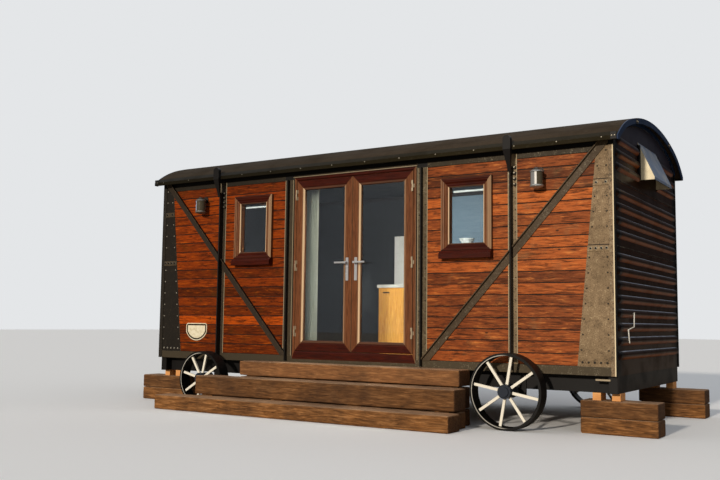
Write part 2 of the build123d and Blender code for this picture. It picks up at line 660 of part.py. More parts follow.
def make_eave_bracket():
    """The cranked bracket from the right-hand stanchion's stem to the eave, with its rounded lug."""
    fascia, stem = MIDDLE - FASCIA_HALF_SPAN, FRONT - STEM_DEPTH
    top, eave, crank = level(LUG_TOP_LEVEL), level(FASCIA_LEVEL), level(STEM_TOP_LEVEL)
    foot = crank - BRACKET_LAP
    side = [
        (0, fascia, top),
        (0, fascia, eave),
        (0, stem, crank),
        (0, stem, foot),
        (0, stem - STEEL, foot),
        (0, fascia - LUG_DEPTH, eave),
        (0, fascia - LUG_DEPTH, top),
    ]
    body = Pos(STANCHION_X - LUG_WIDTH / 2, 0, 0) * plate(side, LUG_WIDTH, (1, 0, 0))
    half, low_half = LUG_WIDTH / 2, BRACKET_FOOT_WIDTH / 2
    left, right, y = STANCHION_X - half, STANCHION_X + half, FRONT - HALF_WIDTH
    front = Polyline(
        (left, y, top - half),
        (left, y, eave),
        (STANCHION_X - low_half, y, crank),
        (STANCHION_X - low_half, y, foot),
        (STANCHION_X + low_half, y, foot),
        (STANCHION_X + low_half, y, crank),
        (right, y, eave),
        (right, y, top - half),
    )
    crown = ThreePointArc((right, y, top - half), (STANCHION_X, y, top), (left, y, top - half))
    return body & extrude(make_face(front.edges() + [crown]), amount=BODY_WIDTH, dir=(0, 1, 0))


def make_door_frame():
    """The jambs, head and threshold of the French doors."""
    half, member = DOOR_FRAME_WIDTH / 2, DOOR_FRAME_MEMBER
    low, high = level(THRESHOLD_LEVEL), level(DOOR_FRAME_TOP_LEVEL)
    frame = block(-half, half, FRAME_FACE, INSIDE, low, high)
    return frame - block(
        -half + member, half - member, FRAME_FACE - 1, INSIDE + 1, low + THRESHOLD_HEIGHT, high - member
    )


def leaf_box(inset, y0, y1):
    """The right-hand leaf's outline, moved inwards, between two depths."""
    low = level(THRESHOLD_LEVEL) + THRESHOLD_HEIGHT + LEAF_GAP
    high = level(DOOR_FRAME_TOP_LEVEL) - DOOR_FRAME_MEMBER - LEAF_GAP
    side, foot, head = inset
    return block(LEAF_GAP / 2 + side, LEAF_EDGE - side, y0, y1, low + foot, high - head)


def make_door_leaf():
    """The right-hand leaf: stiles and rails with a rebate for its glass."""
    back = FRAME_FACE + LEAF_THICKNESS
    leaf = leaf_box((0, 0, 0), FRAME_FACE, back)
    leaf = leaf - leaf_box((LEAF_STILE, LEAF_BOTTOM_RAIL, LEAF_TOP_RAIL), FRAME_FACE - 1, back + 1)
    leaf = leaf - make_door_pane()
    spindle = rod(
        (HANDLE_X, FRAME_FACE - 1, level(HANDLE_LEVEL)),
        (HANDLE_X, FRAME_FACE + SPINDLE_DEPTH + LEVER_GAP, level(HANDLE_LEVEL)),
        SPINDLE_RADIUS + PIN_GAP,
    )
    return leaf - spindle


def make_door_pane():
    """The right-hand leaf's glass, let into the rebate."""
    front = FRAME_FACE + (LEAF_THICKNESS - PANE_THICKNESS) / 2
    inset = (LEAF_STILE - PANE_REBATE, LEAF_BOTTOM_RAIL - PANE_REBATE, LEAF_TOP_RAIL - PANE_REBATE)
    return leaf_box(inset, front, front + PANE_THICKNESS)


def knuckle_levels():
    """The bottom and top of each hinge's three knuckles."""
    third = HINGE_HEIGHT / 3
    for middle in HINGE_LEVELS:
        low = level(middle) - HINGE_HEIGHT / 2
        yield [(low + index * third, low + (index + 1) * third) for index in range(3)]


def make_hinge_leaves():
    """The moving halves of the right-hand leaf's hinges: plate and outer knuckles."""
    halves = []
    for low, _, high in knuckle_levels():
        for z0, z1 in ((low[0], low[1] - KNUCKLE_GAP), (high[0] + KNUCKLE_GAP, high[1])):
            flap = block(PIVOT_X - HINGE_WIDTH, PIVOT_X, FRAME_FACE - HINGE_PLATE, FRAME_FACE, z0, z1)
            barrel = rod((PIVOT_X, PIVOT_Y, z0), (PIVOT_X, PIVOT_Y, z1), KNUCKLE_RADIUS)
            bore = rod((PIVOT_X, PIVOT_Y, z0 - 1), (PIVOT_X, PIVOT_Y, z1 + 1), HINGE_PIN_RADIUS + PIN_GAP)
            halves.append(flap + barrel - bore)
    return halves


def make_hinge_jambs():
    """The fixed halves of the right-hand leaf's hinges: plate, middle knuckle and pin."""
    halves = []
    for low, middle, high in knuckle_levels():
        z0, z1 = middle
        flap = block(PIVOT_X, PIVOT_X + HINGE_WIDTH, FRAME_FACE - HINGE_PLATE, FRAME_FACE, z0, z1)
        barrel = rod((PIVOT_X, PIVOT_Y, z0), (PIVOT_X, PIVOT_Y, z1), KNUCKLE_RADIUS)
        pin = rod((PIVOT_X, PIVOT_Y, low[0]), (PIVOT_X, PIVOT_Y, high[1]), HINGE_PIN_RADIUS)
        halves.append(flap + barrel + pin)
    return halves


def make_handle_plate():
    """The right-hand leaf's long handle plate, with the spindle hole."""
    top = level(HANDLE_LEVEL) + HANDLE_PLATE_ABOVE
    half, face = HANDLE_PLATE_WIDTH / 2, FRAME_FACE - HANDLE_PLATE_THICKNESS
    back = block(HANDLE_X - half, HANDLE_X + half, face, FRAME_FACE, top - HANDLE_PLATE_HEIGHT, top)
    back = fillet(back.edges().filter_by(Axis.Y), half / 2)
    hole = rod(
        (HANDLE_X, face - 1, level(HANDLE_LEVEL)), (HANDLE_X, FRAME_FACE + 1, level(HANDLE_LEVEL)),
        SPINDLE_RADIUS + PIN_GAP,
    )
    return back - hole


def make_lever():
    """The right-hand leaf's lever: spindle, boss and grip."""
    z, face = level(HANDLE_LEVEL), FRAME_FACE - HANDLE_PLATE_THICKNESS - LEVER_GAP
    spindle = rod((HANDLE_X, face, z), (HANDLE_X, FRAME_FACE + SPINDLE_DEPTH, z), SPINDLE_RADIUS)
    boss = rod((HANDLE_X, face, z), (HANDLE_X, face - LEVER_REACH, z), LEVER_BOSS_RADIUS)
    y0 = face - LEVER_REACH
    grip = block(
        HANDLE_X, HANDLE_X + LEVER_LENGTH, y0, y0 + LEVER_THICKNESS, z - LEVER_HEIGHT / 2, z + LEVER_HEIGHT / 2
    )
    grip = fillet(grip.edges().filter_by(Axis.X), LEVER_THICKNESS / 3)
    return spindle + boss + grip


def window_box(side, foot, head, y0, y1):
    """The right-hand window's outline, moved inwards, between two depths."""
    half = WINDOW_WIDTH / 2 - side
    low, high = level(WINDOW_FOOT_LEVEL) + foot, level(WINDOW_TOP_LEVEL) - head
    return block(WINDOW_X - half, WINDOW_X + half, y0, y1, low, high)


def make_window_frame():
    """The right-hand window's casing and sash, and its sill."""
    face = FRONT - WINDOW_PROUD
    back = face + WINDOW_DEPTH
    frame = window_box(0, 0, 0, face, back)
    frame = frame - window_box(WINDOW_SIDE, WINDOW_FOOT, WINDOW_HEAD, face - 1, back + 1)
    sash_room = (WINDOW_SIDE - SASH_WIDTH, WINDOW_FOOT - SASH_WIDTH, WINDOW_HEAD - SASH_WIDTH)
    frame = frame - window_box(*sash_room, face - 1, face + SASH_STEP)
    return frame - make_window_pane()


def make_window_pane():
    """The right-hand window's glass, let into the sash."""
    front = FRONT - WINDOW_PROUD + WINDOW_DEPTH / 2
    rebate = PANE_REBATE
    return window_box(
        WINDOW_SIDE - rebate, WINDOW_FOOT - rebate, WINDOW_HEAD - rebate, front, front + WINDOW_PANE
    )


def make_window_sill():
    """The sloped sill below the right-hand window."""
    top, half = level(WINDOW_FOOT_LEVEL), SILL_WIDTH / 2
    sill = block(WINDOW_X - half, WINDOW_X + half, FRONT - SILL_PROUD, FRONT, top - SILL_HEIGHT, top)
    edge = sill.edges().filter_by(Axis.X).sort_by(Axis.Z)[-2:].sort_by(Axis.Y)[0]
    return chamfer(edge, SILL_PROUD - WINDOW_PROUD)


def make_lamp():
    """The right-hand lamp: rose, arm, hood and lower ring."""
    top = level(LAMP_TOP_LEVEL)
    place = (LAMP_X, FRONT - LAMP_REACH)
    hood_foot = top - LAMP_HOOD_HEIGHT
    hood = turned(
        [
            (0, top),
            (LAMP_CAP_RADIUS, top),
            (LAMP_COWL_RADIUS, top - LAMP_COWL_HEIGHT),
            (LAMP_HOOD_RADIUS - LAMP_LIP_TAPER, hood_foot + LAMP_LIP_HEIGHT),
            (LAMP_HOOD_RADIUS, hood_foot),
            (0, hood_foot),
        ],
        place,
    )
    ring_top = hood_foot - LAMP_GLASS_HEIGHT
    foot = top - LAMP_HEIGHT
    ring = turned(
        [
            (0, ring_top),
            (LAMP_GLASS_RADIUS + LAMP_RING_PROUD, ring_top),
            (LAMP_GLASS_RADIUS + LAMP_RING_FLARE, ring_top - LAMP_RING_HEIGHT),
            (LAMP_GLASS_RADIUS, ring_top - LAMP_RING_DEPTH),
            (LAMP_FOOT_RADIUS, foot),
            (0, foot),
        ],
        place,
    )
    arm_level = (top + hood_foot) / 2
    arm = rod((LAMP_X, FRONT - LAMP_ROSE_THICKNESS, arm_level), (LAMP_X, place[1], arm_level), LAMP_ARM_RADIUS)
    rose = rod((LAMP_X, FRONT, arm_level), (LAMP_X, FRONT - LAMP_ROSE_THICKNESS, arm_level), LAMP_ROSE_RADIUS)
    return [rose + arm + hood, ring]


def make_lamp_glass():
    """The right-hand lamp's glass, between the hood and the ring."""
    top = level(LAMP_TOP_LEVEL) - LAMP_HOOD_HEIGHT
    place = (LAMP_X, FRONT - LAMP_REACH, top - LAMP_GLASS_HEIGHT)
    return extrude(Plane(place) * Circle(LAMP_GLASS_RADIUS), amount=LAMP_GLASS_HEIGHT)


def make_number_plate():
    """The plate on the left: a flat top and a rounded foot."""
    top, half = level(PLATE_TOP_LEVEL), PLATE_WIDTH / 2
    y = FRONT - PLATE_THICKNESS
    shoulder = top - PLATE_HEIGHT / 2
    edge = [
        Line((-PLATE_X - half, y, shoulder), (-PLATE_X - half, y, top)),
        Line((-PLATE_X - half, y, top), (-PLATE_X + half, y, top)),
        Line((-PLATE_X + half, y, top), (-PLATE_X + half, y, shoulder)),
        ThreePointArc(
            (-PLATE_X + half, y, shoulder), (-PLATE_X, y, top - PLATE_HEIGHT), (-PLATE_X - half, y, shoulder)
        ),
    ]
    enamel = extrude(make_face(edge), amount=PLATE_THICKNESS, dir=(0, 1, 0))
    return fillet(enamel.edges().filter_by(Axis.Y).sort_by(Axis.Z)[-2:], PLATE_CORNER)


def make_solebar():
    """The front channel under the floor, open towards the middle."""
    y, low, web = FRONT + SOLEBAR_RECESS, BODY_BOTTOM - SOLEBAR_DEPTH, SOLEBAR_WEB
    x = HALF_LENGTH - HEADSTOCK_THICKNESS
    bar = block(-x, x, y, y + SOLEBAR_FLANGE, low, BODY_BOTTOM)
    return bar - block(-x, x, y + web, y + SOLEBAR_FLANGE, low + web, BODY_BOTTOM - web)


def make_headstock():
    """The cross beam under the right end."""
    x, low = HALF_LENGTH - HEADSTOCK_THICKNESS, BODY_BOTTOM - SOLEBAR_DEPTH
    return block(x, HALF_LENGTH, FRONT + HEADSTOCK_INSET, REAR - HEADSTOCK_INSET, low, BODY_BOTTOM)


def make_axle(x, radius):
    """A stub axle on the front solebar, standing out to a wheel of a given radius."""
    face = FRONT + SOLEBAR_RECESS
    half, outer = AXLE_PLATE_WIDTH / 2, face - AXLE_PLATE_THICKNESS
    bracket = block(x - half, x + half, outer, face, radius - AXLE_PLATE_BELOW, BODY_BOTTOM - STEEL)
    return bracket + rod((x, outer, radius), (x, FRONT - WHEEL_FACE_REACH - HUB_PROUD, radius), AXLE_RADIUS)


def make_wheel(x, radius, turn):
    """A front wheel: a broad rim, eight spokes, a hub and its cap."""
    face = FRONT - WHEEL_FACE_REACH
    inner = radius - RIM_THICKNESS
    centre = (x, face, radius)
    rim = rod(centre, (x, face + TREAD_WIDTH, radius), radius) - rod(
        (x, face - 1, radius), (x, face + TREAD_WIDTH + 1, radius), inner
    )
    hub = rod((x, face - HUB_PROUD, radius), (x, face + TREAD_WIDTH + HUB_BACK, radius), HUB_RADIUS)
    y0 = face + SPOKE_INSET
    spokes = Part()
    for index in range(SPOKES):
        end = inner + RIM_THICKNESS / 2
        bar = block(-SPOKE_WIDTH / 2, SPOKE_WIDTH / 2, 0, SPOKE_THICKNESS, HUB_RADIUS / 2, end)
        spokes = spokes + Pos(x, y0, radius) * Rot(0, turn + index * 360 / SPOKES, 0) * bar
    wheel = rim + hub + spokes
    wheel = wheel - rod(
        (x, face - HUB_PROUD - 1, radius), (x, FRONT, radius), AXLE_RADIUS + AXLE_GAP
    )
    cap = rod((x, face - HUB_PROUD, radius), (x, face - HUB_PROUD - CAP_THICKNESS, radius), CAP_RADIUS)
    return wheel + cap


def make_bearers():
    """The short sleepers stacked under the front right corner."""
    y, course = FRONT + BEARER_RECESS, BEARER_TOP / BEARER_COURSES
    x0 = BEARER_END - BEARER_LENGTH
    return [
        block(x0, BEARER_END, y, y + BEARER_WIDTH, index * course, (index + 1) * course)
        for index in range(BEARER_COURSES)
    ]


def make_packing_blocks():
    """The two blocks between the bearers and the underframe at the front right corner."""
    y, half = FRONT + BLOCK_RECESS, BLOCK_WIDTH / 2
    return [
        block(x - half, x + half, y, y + BLOCK_DEPTH, BEARER_TOP, BODY_BOTTOM - SOLEBAR_DEPTH)
        for x in (HALF_LENGTH - inset for inset in BLOCK_INSETS)
    ]


def row_near(row):
    """Where a row of sleepers starts, out from the wall."""
    return FRONT - STEP_WALL_GAP - row * (SLEEPER_WIDTH + SLEEPER_GAP)


def make_step(course):
    """One course of sleepers: a row fewer for each course up."""
    z0, z1 = COURSES[course]
    sleepers = []
    for row in range(len(ROW_ENDS) - course):
        x0, x1 = ROW_ENDS[row]
        timber = block(x0, x1, row_near(row) - SLEEPER_WIDTH, row_near(row), z0, z1)
        tops = timber.edges().filter_by(Axis.X).sort_by(Axis.Z)[-2:]
        sleepers.append(fillet(tops, STEP_ROUNDING))
    return sleepers


def make_packers():
    """The boards that level each course of steps on the one below."""
    boards = []
    for course in range(1, len(COURSES)):
        z0, z1 = COURSES[course - 1][1], COURSES[course][0]
        for row in range(len(ROW_ENDS) - course):
            x0, x1 = ROW_ENDS[row]
            far, near = row_near(row) - SLEEPER_WIDTH + PACKER_INSET, row_near(row) - PACKER_INSET
            spacing = (x1 - x0 - 2 * PACKER_WIDTH) / (PACKERS - 1)
            for index in range(PACKERS):
                x = x0 + PACKER_WIDTH / 2 + index * spacing
                boards.append(block(x, x + PACKER_WIDTH, far, near, z0, z1))
    return boards


def make_curtain_rail():
    """The curtain rail inside the doors, on two brackets."""
    y, z = INSIDE + RAIL_STANDOFF, level(RAIL_LEVEL)
    rail = rod((-RAIL_HALF_LENGTH, y, z), (RAIL_HALF_LENGTH, y, z), RAIL_RADIUS)
    for side in (-1, 1):
        x = side * (RAIL_HALF_LENGTH - 2 * RAIL_RADIUS)
        rail = rail + rod((x, INSIDE, z), (x, y, z), RAIL_RADIUS / 2)
        rail = rail + rod((x, INSIDE, z), (x, INSIDE + STEEL, z), 2 * RAIL_RADIUS)
    return rail


def make_curtain():
    """The curtain drawn back to the left of the doors."""
    y, top = INSIDE + RAIL_STANDOFF, level(RAIL_LEVEL) - RAIL_RADIUS
    half, depth = CURTAIN_WIDTH / 2, CURTAIN_DEPTH / 2
    foot = FLOOR_TOP + CURTAIN_FLOOR_GAP
    return block(CURTAIN_X - half, CURTAIN_X + half, y - depth, y + depth, foot, top)


def make_kitchen_unit():
    """The kitchen unit against the rear wall."""
    back = REAR - SIDE_WALL
    x1 = UNIT_LEFT + UNIT_WIDTH
    return block(UNIT_LEFT, x1, back - UNIT_DEPTH, back, FLOOR_TOP, FLOOR_TOP + UNIT_HEIGHT)


def make_worktop():
    """The worktop on the kitchen unit."""
    back, low = REAR - SIDE_WALL, FLOOR_TOP + UNIT_HEIGHT
    x0, x1 = UNIT_LEFT - WORKTOP_OVERHANG, UNIT_LEFT + UNIT_WIDTH + WORKTOP_OVERHANG
    return block(x0, x1, back - UNIT_DEPTH - WORKTOP_OVERHANG, back, low, low + WORKTOP_THICKNESS)


def mirrored(piece):
    """The left-hand twin of a right-hand piece."""
    return mirror(piece, Plane.YZ)


def left_and_right(name, pieces):
    """Two nodes of one kind, left and right."""
    return {
        f"{name}_left": [mirrored(piece) for piece in pieces],
        f"{name}_right": pieces,
    }


def build_nodes():
    """Every node of the cabin with its solids."""
    stanchion = make_tee(STANCHION_X, FLANGE_WIDTH, STEM_DEPTH, level(STEM_TOP_LEVEL))
    post = make_tee(DOOR_POST_X, DOOR_POST_FLANGE, DOOR_POST_DEPTH, level(PLANK_TOP_LEVEL))
    wheels = {
        "wheels_left": [make_wheel(-LEFT_WHEEL_X, LEFT_WHEEL_RADIUS, LEFT_WHEEL_TURN)],
        "wheels_right": [make_wheel(RIGHT_WHEEL_X, RIGHT_WHEEL_RADIUS, RIGHT_WHEEL_TURN)],
    }
    axles = [make_axle(-LEFT_WHEEL_X, LEFT_WHEEL_RADIUS), make_axle(RIGHT_WHEEL_X, RIGHT_WHEEL_RADIUS)]
    nodes = {
        "floor": [make_floor()],
        "front_wall_over_door": [make_wall_over_door()],
        "rear_wall": [make_rear_wall()],
        "end_walls": at_both_ends([make_end_wall()]),
        "end_sheets": at_both_ends(make_end_sheets()),
        "vent_hoods": at_both_ends([make_hood()]),
        "roof": [make_roof()],
        "fascias": on_both_sides([make_fascia()]),
        "arch_trims": at_both_ends([make_arch_trim(), make_verge()]),
        "stanchions": on_both_sides(at_both_ends([stanchion])),
        "door_posts": on_both_sides(at_both_ends([post])),
        "wall_rails": on_both_sides([make_cantrail(), make_bottom_rail()]),
        "corner_plates": on_both_sides(at_both_ends([make_gusset()])),
        "corner_angles": on_both_sides(at_both_ends([make_corner_angle()])),
        "braces": on_both_sides(at_both_ends(make_braces())),
        "roof_straps": on_both_sides(at_both_ends([make_eave_bracket()])),
        "door_frame": [make_door_frame()],
        "door_hinge_jambs": at_both_ends(make_hinge_jambs()),
        "window_frames": at_both_ends([make_window_frame()]),
        "window_panes": at_both_ends([make_window_pane()]),
        "window_sills": at_both_ends([make_window_sill()]),
        "lamps": at_both_ends(make_lamp()),
        "lamp_glasses": at_both_ends([make_lamp_glass()]),
        "number_plate": [make_number_plate()],
        "solebars": on_both_sides([make_solebar()]),
        "headstocks": at_both_ends([make_headstock()]),
        "stub_axles": on_both_sides(axles),
        "bearers": on_both_sides(at_both_ends(make_bearers())),
        "packing_blocks": on_both_sides(at_both_ends(make_packing_blocks())),
        "step_bottom": make_step(0),
        "step_middle": make_step(1),
        "step_top": make_step(2),
        "step_packers": make_packers(),
        "curtain_rail": [make_curtain_rail()],
        "curtain": [make_curtain()],
        "kitchen_unit": [make_kitchen_unit()],
        "worktop": [make_worktop()],
    }
    nodes.update({name: on_both_sides(pieces) for name, pieces in wheels.items()})
    for name, pieces in (
        ("front_wall", [make_front_wall()]),
        ("door_leaf", [make_door_leaf()]),
        ("door_pane", [make_door_pane()]),
        ("door_hinges", make_hinge_leaves()),
        ("door_handle_plate", [make_handle_plate()]),
        ("door_lever", [make_lever()]),
    ):
        nodes.update(left_and_right(name, pieces))
    return nodes


def main():
    """Writes one file for each node."""
    os.makedirs("parts", exist_ok=True)
    for name, pieces in build_nodes().items():
        solids = [solid for piece in pieces for solid in piece.solids()]
        export_step(Compound(children=solids) if len(solids) > 1 else solids[0], f"parts/{name}.step")


if __name__ == "__main__":
    main()
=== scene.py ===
"""Dresses the railway carriage cabin and sets up its studio view, in metres."""

import logging
import math
import random
from dataclasses import dataclass, field
from enum import Enum

import bmesh
import bpy
from mathutils import Matrix, Vector, noise

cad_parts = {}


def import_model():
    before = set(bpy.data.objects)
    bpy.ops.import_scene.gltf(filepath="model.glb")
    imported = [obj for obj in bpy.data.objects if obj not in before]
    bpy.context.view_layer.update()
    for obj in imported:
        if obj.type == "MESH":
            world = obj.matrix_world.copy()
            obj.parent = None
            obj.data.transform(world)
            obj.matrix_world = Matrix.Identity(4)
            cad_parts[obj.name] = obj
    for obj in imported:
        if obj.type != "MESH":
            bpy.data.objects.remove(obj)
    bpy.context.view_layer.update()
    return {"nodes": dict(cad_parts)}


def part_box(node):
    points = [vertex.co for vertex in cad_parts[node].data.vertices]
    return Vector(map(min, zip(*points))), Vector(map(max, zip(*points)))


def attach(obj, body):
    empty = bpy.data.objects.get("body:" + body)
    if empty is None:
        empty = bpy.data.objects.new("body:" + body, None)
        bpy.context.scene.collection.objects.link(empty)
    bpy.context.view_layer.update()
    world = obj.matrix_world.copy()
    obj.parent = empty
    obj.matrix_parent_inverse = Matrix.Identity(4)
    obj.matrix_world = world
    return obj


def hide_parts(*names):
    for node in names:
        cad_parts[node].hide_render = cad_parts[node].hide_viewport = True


LOG = logging.getLogger("cabin")
Rgb = tuple[int, int, int]
Span = tuple[float, float]
Place = tuple[float, float, float]
Socket = bpy.types.NodeSocket
X, Y, Z = range(3)
UP, DOWN, RIGHTWARDS, LEFTWARDS = (0, 0, 1), (0, 0, -1), (1, 0, 0), (-1, 0, 0)
FAR = 9.0
MERGE = 0.00001


@dataclass(frozen=True)
class Site:
    """Places of the cabin that the finishes and the pieces are set out from."""

    front: float = -0.89705
    rear: float = 1.38295
    half_length: float = 2.667
    sheet_face: float = 2.671
    plank_foot: float = 0.575
    plank_top: float = 2.442
    courses: int = 18
    steel: float = 0.008
    wall: float = 0.0705
    floor_top: float = 0.551
    post_x: float = 0.810
    stanchion_x: float = 1.7435
    window_x: float = 1.28675
    window_half: float = 0.261
    window_foot: float = 1.616
    window_top: float = 2.310
    gusset_top: float = 0.147
    gusset_foot: float = 0.332
    joint_feet: Span = (1.566, 2.140)
    joint_middle: float = 0.026

    @property
    def middle(self) -> float:
        """The middle of the body across."""
        return (self.front + self.rear) / 2

    @property
    def pitch(self) -> float:
        """The height of one course of boards."""
        return (self.plank_top - self.plank_foot) / self.courses

    @property
    def faces(self) -> tuple[tuple[float, int], ...]:
        """The steel's face and its direction on the front and the rear."""
        return ((self.front - self.steel, -1), (self.rear + self.steel, 1))

    def gusset_edge(self, z: float) -> float:
        """How far the right gusset's inner edge is from the middle, at a height."""
        share = max(0.0, (self.plank_top - z) / (self.plank_top - self.plank_foot))
        return self.half_length - self.gusset_top - share * (self.gusset_foot - self.gusset_top)


SITE = Site()


def linear(rgb: Rgb) -> tuple[float, float, float, float]:
    """The scene-linear colour, with an alpha of 1, of a display colour from 0 to 255."""
    parts = [channel / 255 for channel in rgb]
    return (*[c / 12.92 if c <= 0.04045 else ((c + 0.055) / 1.055) ** 2.4 for c in parts], 1.0)


class Graph:
    """Adds and links the nodes of one node tree."""

    def __init__(self, tree: bpy.types.NodeTree) -> None:
        """Keeps the tree, emptied of its nodes."""
        self.tree = tree
        tree.nodes.clear()

    def add(self, kind: str, inputs: dict | None = None, **props: object) -> bpy.types.Node:
        """Adds a node.

        Args:
            kind: the node's type without its ShaderNode prefix.
            inputs: a socket or a value for each input, by name or number.
            props: the node's own settings.

        Returns:
            The new node.
        """
        node = self.tree.nodes.new(f"ShaderNode{kind}")
        for name, value in props.items():
            setattr(node, name, value)
        for key, value in (inputs or {}).items():
            self.feed(node.inputs[key], value)
        return node

    def feed(self, target: Socket, value: object) -> None:
        """Links a socket to an input, or sets the input's value.

        Args:
            target: the input.
            value: an output socket or a plain value.
        """
        if isinstance(value, bpy.types.NodeSocket):
            self.tree.links.new(value, target)
        else:
            target.default_value = value

    def stretch(self, vector: Socket, scale: Place, move: Place = (0, 0, 0), turn: Place = (0, 0, 0)) -> Socket:
        """A vector scaled, moved and turned."""
        return self.add("Mapping", {0: vector, 1: move, 2: turn, 3: scale}).outputs[0]

    def place(self, scale: Place = (1, 1, 1), move: Place = (0, 0, 0), turn: Place = (0, 0, 0)) -> Socket:
        """Object coordinates, scaled, moved and turned."""
        return self.stretch(self.add("TexCoord").outputs["Object"], scale, move, turn)

    def noise(self, vector: Socket, scale: float, detail: float = 4.0, rough: float = 0.5, warp: float = 0.0) -> Socket:
        """A noise value round 0.5."""
        inputs = {"Vector": vector, "Scale": scale, "Detail": detail, "Roughness": rough, "Distortion": warp}
        return self.add("TexNoise", inputs).outputs[0]

    def spots(self, vector: Socket, scale: float) -> Socket:
        """The distance to scattered points, so many to a metre."""
        return self.add("TexVoronoi", {"Vector": vector, "Scale": scale}).outputs["Distance"]

    def fit(self, value: object, low: float, high: float, new_low: float = 0.0, new_high: float = 1.0) -> Socket:
        """A value eased from one range to another, and held at its ends."""
        inputs = {0: value, 1: low, 2: high, 3: new_low, 4: new_high}
        return self.add("MapRange", inputs, interpolation_type="SMOOTHSTEP").outputs[0]

    def sum(self, operation: str, first: object, second: object = 0.0) -> Socket:
        """The result of a plain sum on two values."""
        return self.add("Math", {0: first, 1: second}, operation=operation).outputs[0]

    def times(self, first: object, second: object) -> Socket:
        """The product of two values."""
        return self.sum("MULTIPLY", first, second)

    def dot(self, first: Socket, second: object) -> Socket:
        """The dot product of two vectors."""
        return self.add("VectorMath", {0: first, 1: second}, operation="DOT_PRODUCT").outputs["Value"]

    def length(self, across: Socket, up: Socket) -> Socket:
        """The length of a vector with two parts."""
        both = self.add("CombineXYZ", {0: across, 1: up}).outputs[0]
        return self.add("VectorMath", {0: both}, operation="LENGTH").outputs["Value"]

    def mix(self, share: object, first: object, second: object, blend: str = "MIX") -> Socket:
        """A mix of two colours, by the share of the second."""
        inputs = {0: share, 6: first, 7: second}
        return self.add("Mix", inputs, data_type="RGBA", blend_type=blend).outputs[2]

    def over(self, colour: object, share: object, rgb: Rgb) -> Socket:
        """A colour with a share of a display colour laid over it."""
        return self.mix(share, colour, linear(rgb))

    def ramp(self, value: Socket, stops: list[tuple[float, Rgb]]) -> Socket:
        """A colour picked from a ramp.

        Args:
            value: the place along it.
            stops: places and display colours.

        Returns:
            The colour.
        """
        node = self.add("ValToRGB", {0: value})
        ends = node.color_ramp.elements
        while len(ends) < len(stops):
            ends.new(0.5)
        for end, (place, colour) in zip(ends, stops):
            end.position = place
            end.color = linear(colour)
        return node.outputs[0]

    def split(self, vector: Socket) -> list[Socket]:
        """The three parts of a vector."""
        return list(self.add("SeparateXYZ", {0: vector}).outputs)

    def bump(self, height: Socket, strength: float, distance: float = 0.002, normal: Socket | None = None) -> Socket:
        """The normal of a height, laid over another normal if one is given."""
        under = {} if normal is None else {"Normal": normal}
        return self.add("Bump", {"Strength": strength, "Distance": distance, "Height": height, **under}).outputs[0]

    def use(self, tree: bpy.types.NodeTree, inputs: dict[str, object]) -> dict[str, Socket]:
        """The outputs, by name, of a shared group with its inputs."""
        return {out.name: out for out in self.add("Group", inputs, node_tree=tree).outputs}


class Group(Graph):
    """The graph of a shared node group."""

    def __init__(self, name: str, inputs: dict[str, str], outputs: dict[str, str]) -> None:
        """Starts the group.

        Args:
            name: the group's name.
            inputs: the kind of each input socket.
            outputs: the kind of each output socket.
        """
        super().__init__(bpy.data.node_groups.new(name, "ShaderNodeTree"))
        for in_out, sockets in (("INPUT", inputs), ("OUTPUT", outputs)):
            for label, kind in sockets.items():
                self.tree.interface.new_socket(name=label, in_out=in_out, socket_type=f"NodeSocket{kind}")
        self.start, self.end = (self.tree.nodes.new(f"NodeGroup{side}") for side in ("Input", "Output"))

    def give(self, values: dict[str, Socket]) -> bpy.types.NodeTree:
        """Feeds the group's outputs.

        Args:
            values: a socket for each output.

        Returns:
            The finished group.
        """
        for label, value in values.items():
            self.feed(self.end.inputs[label], value)
        return self.tree


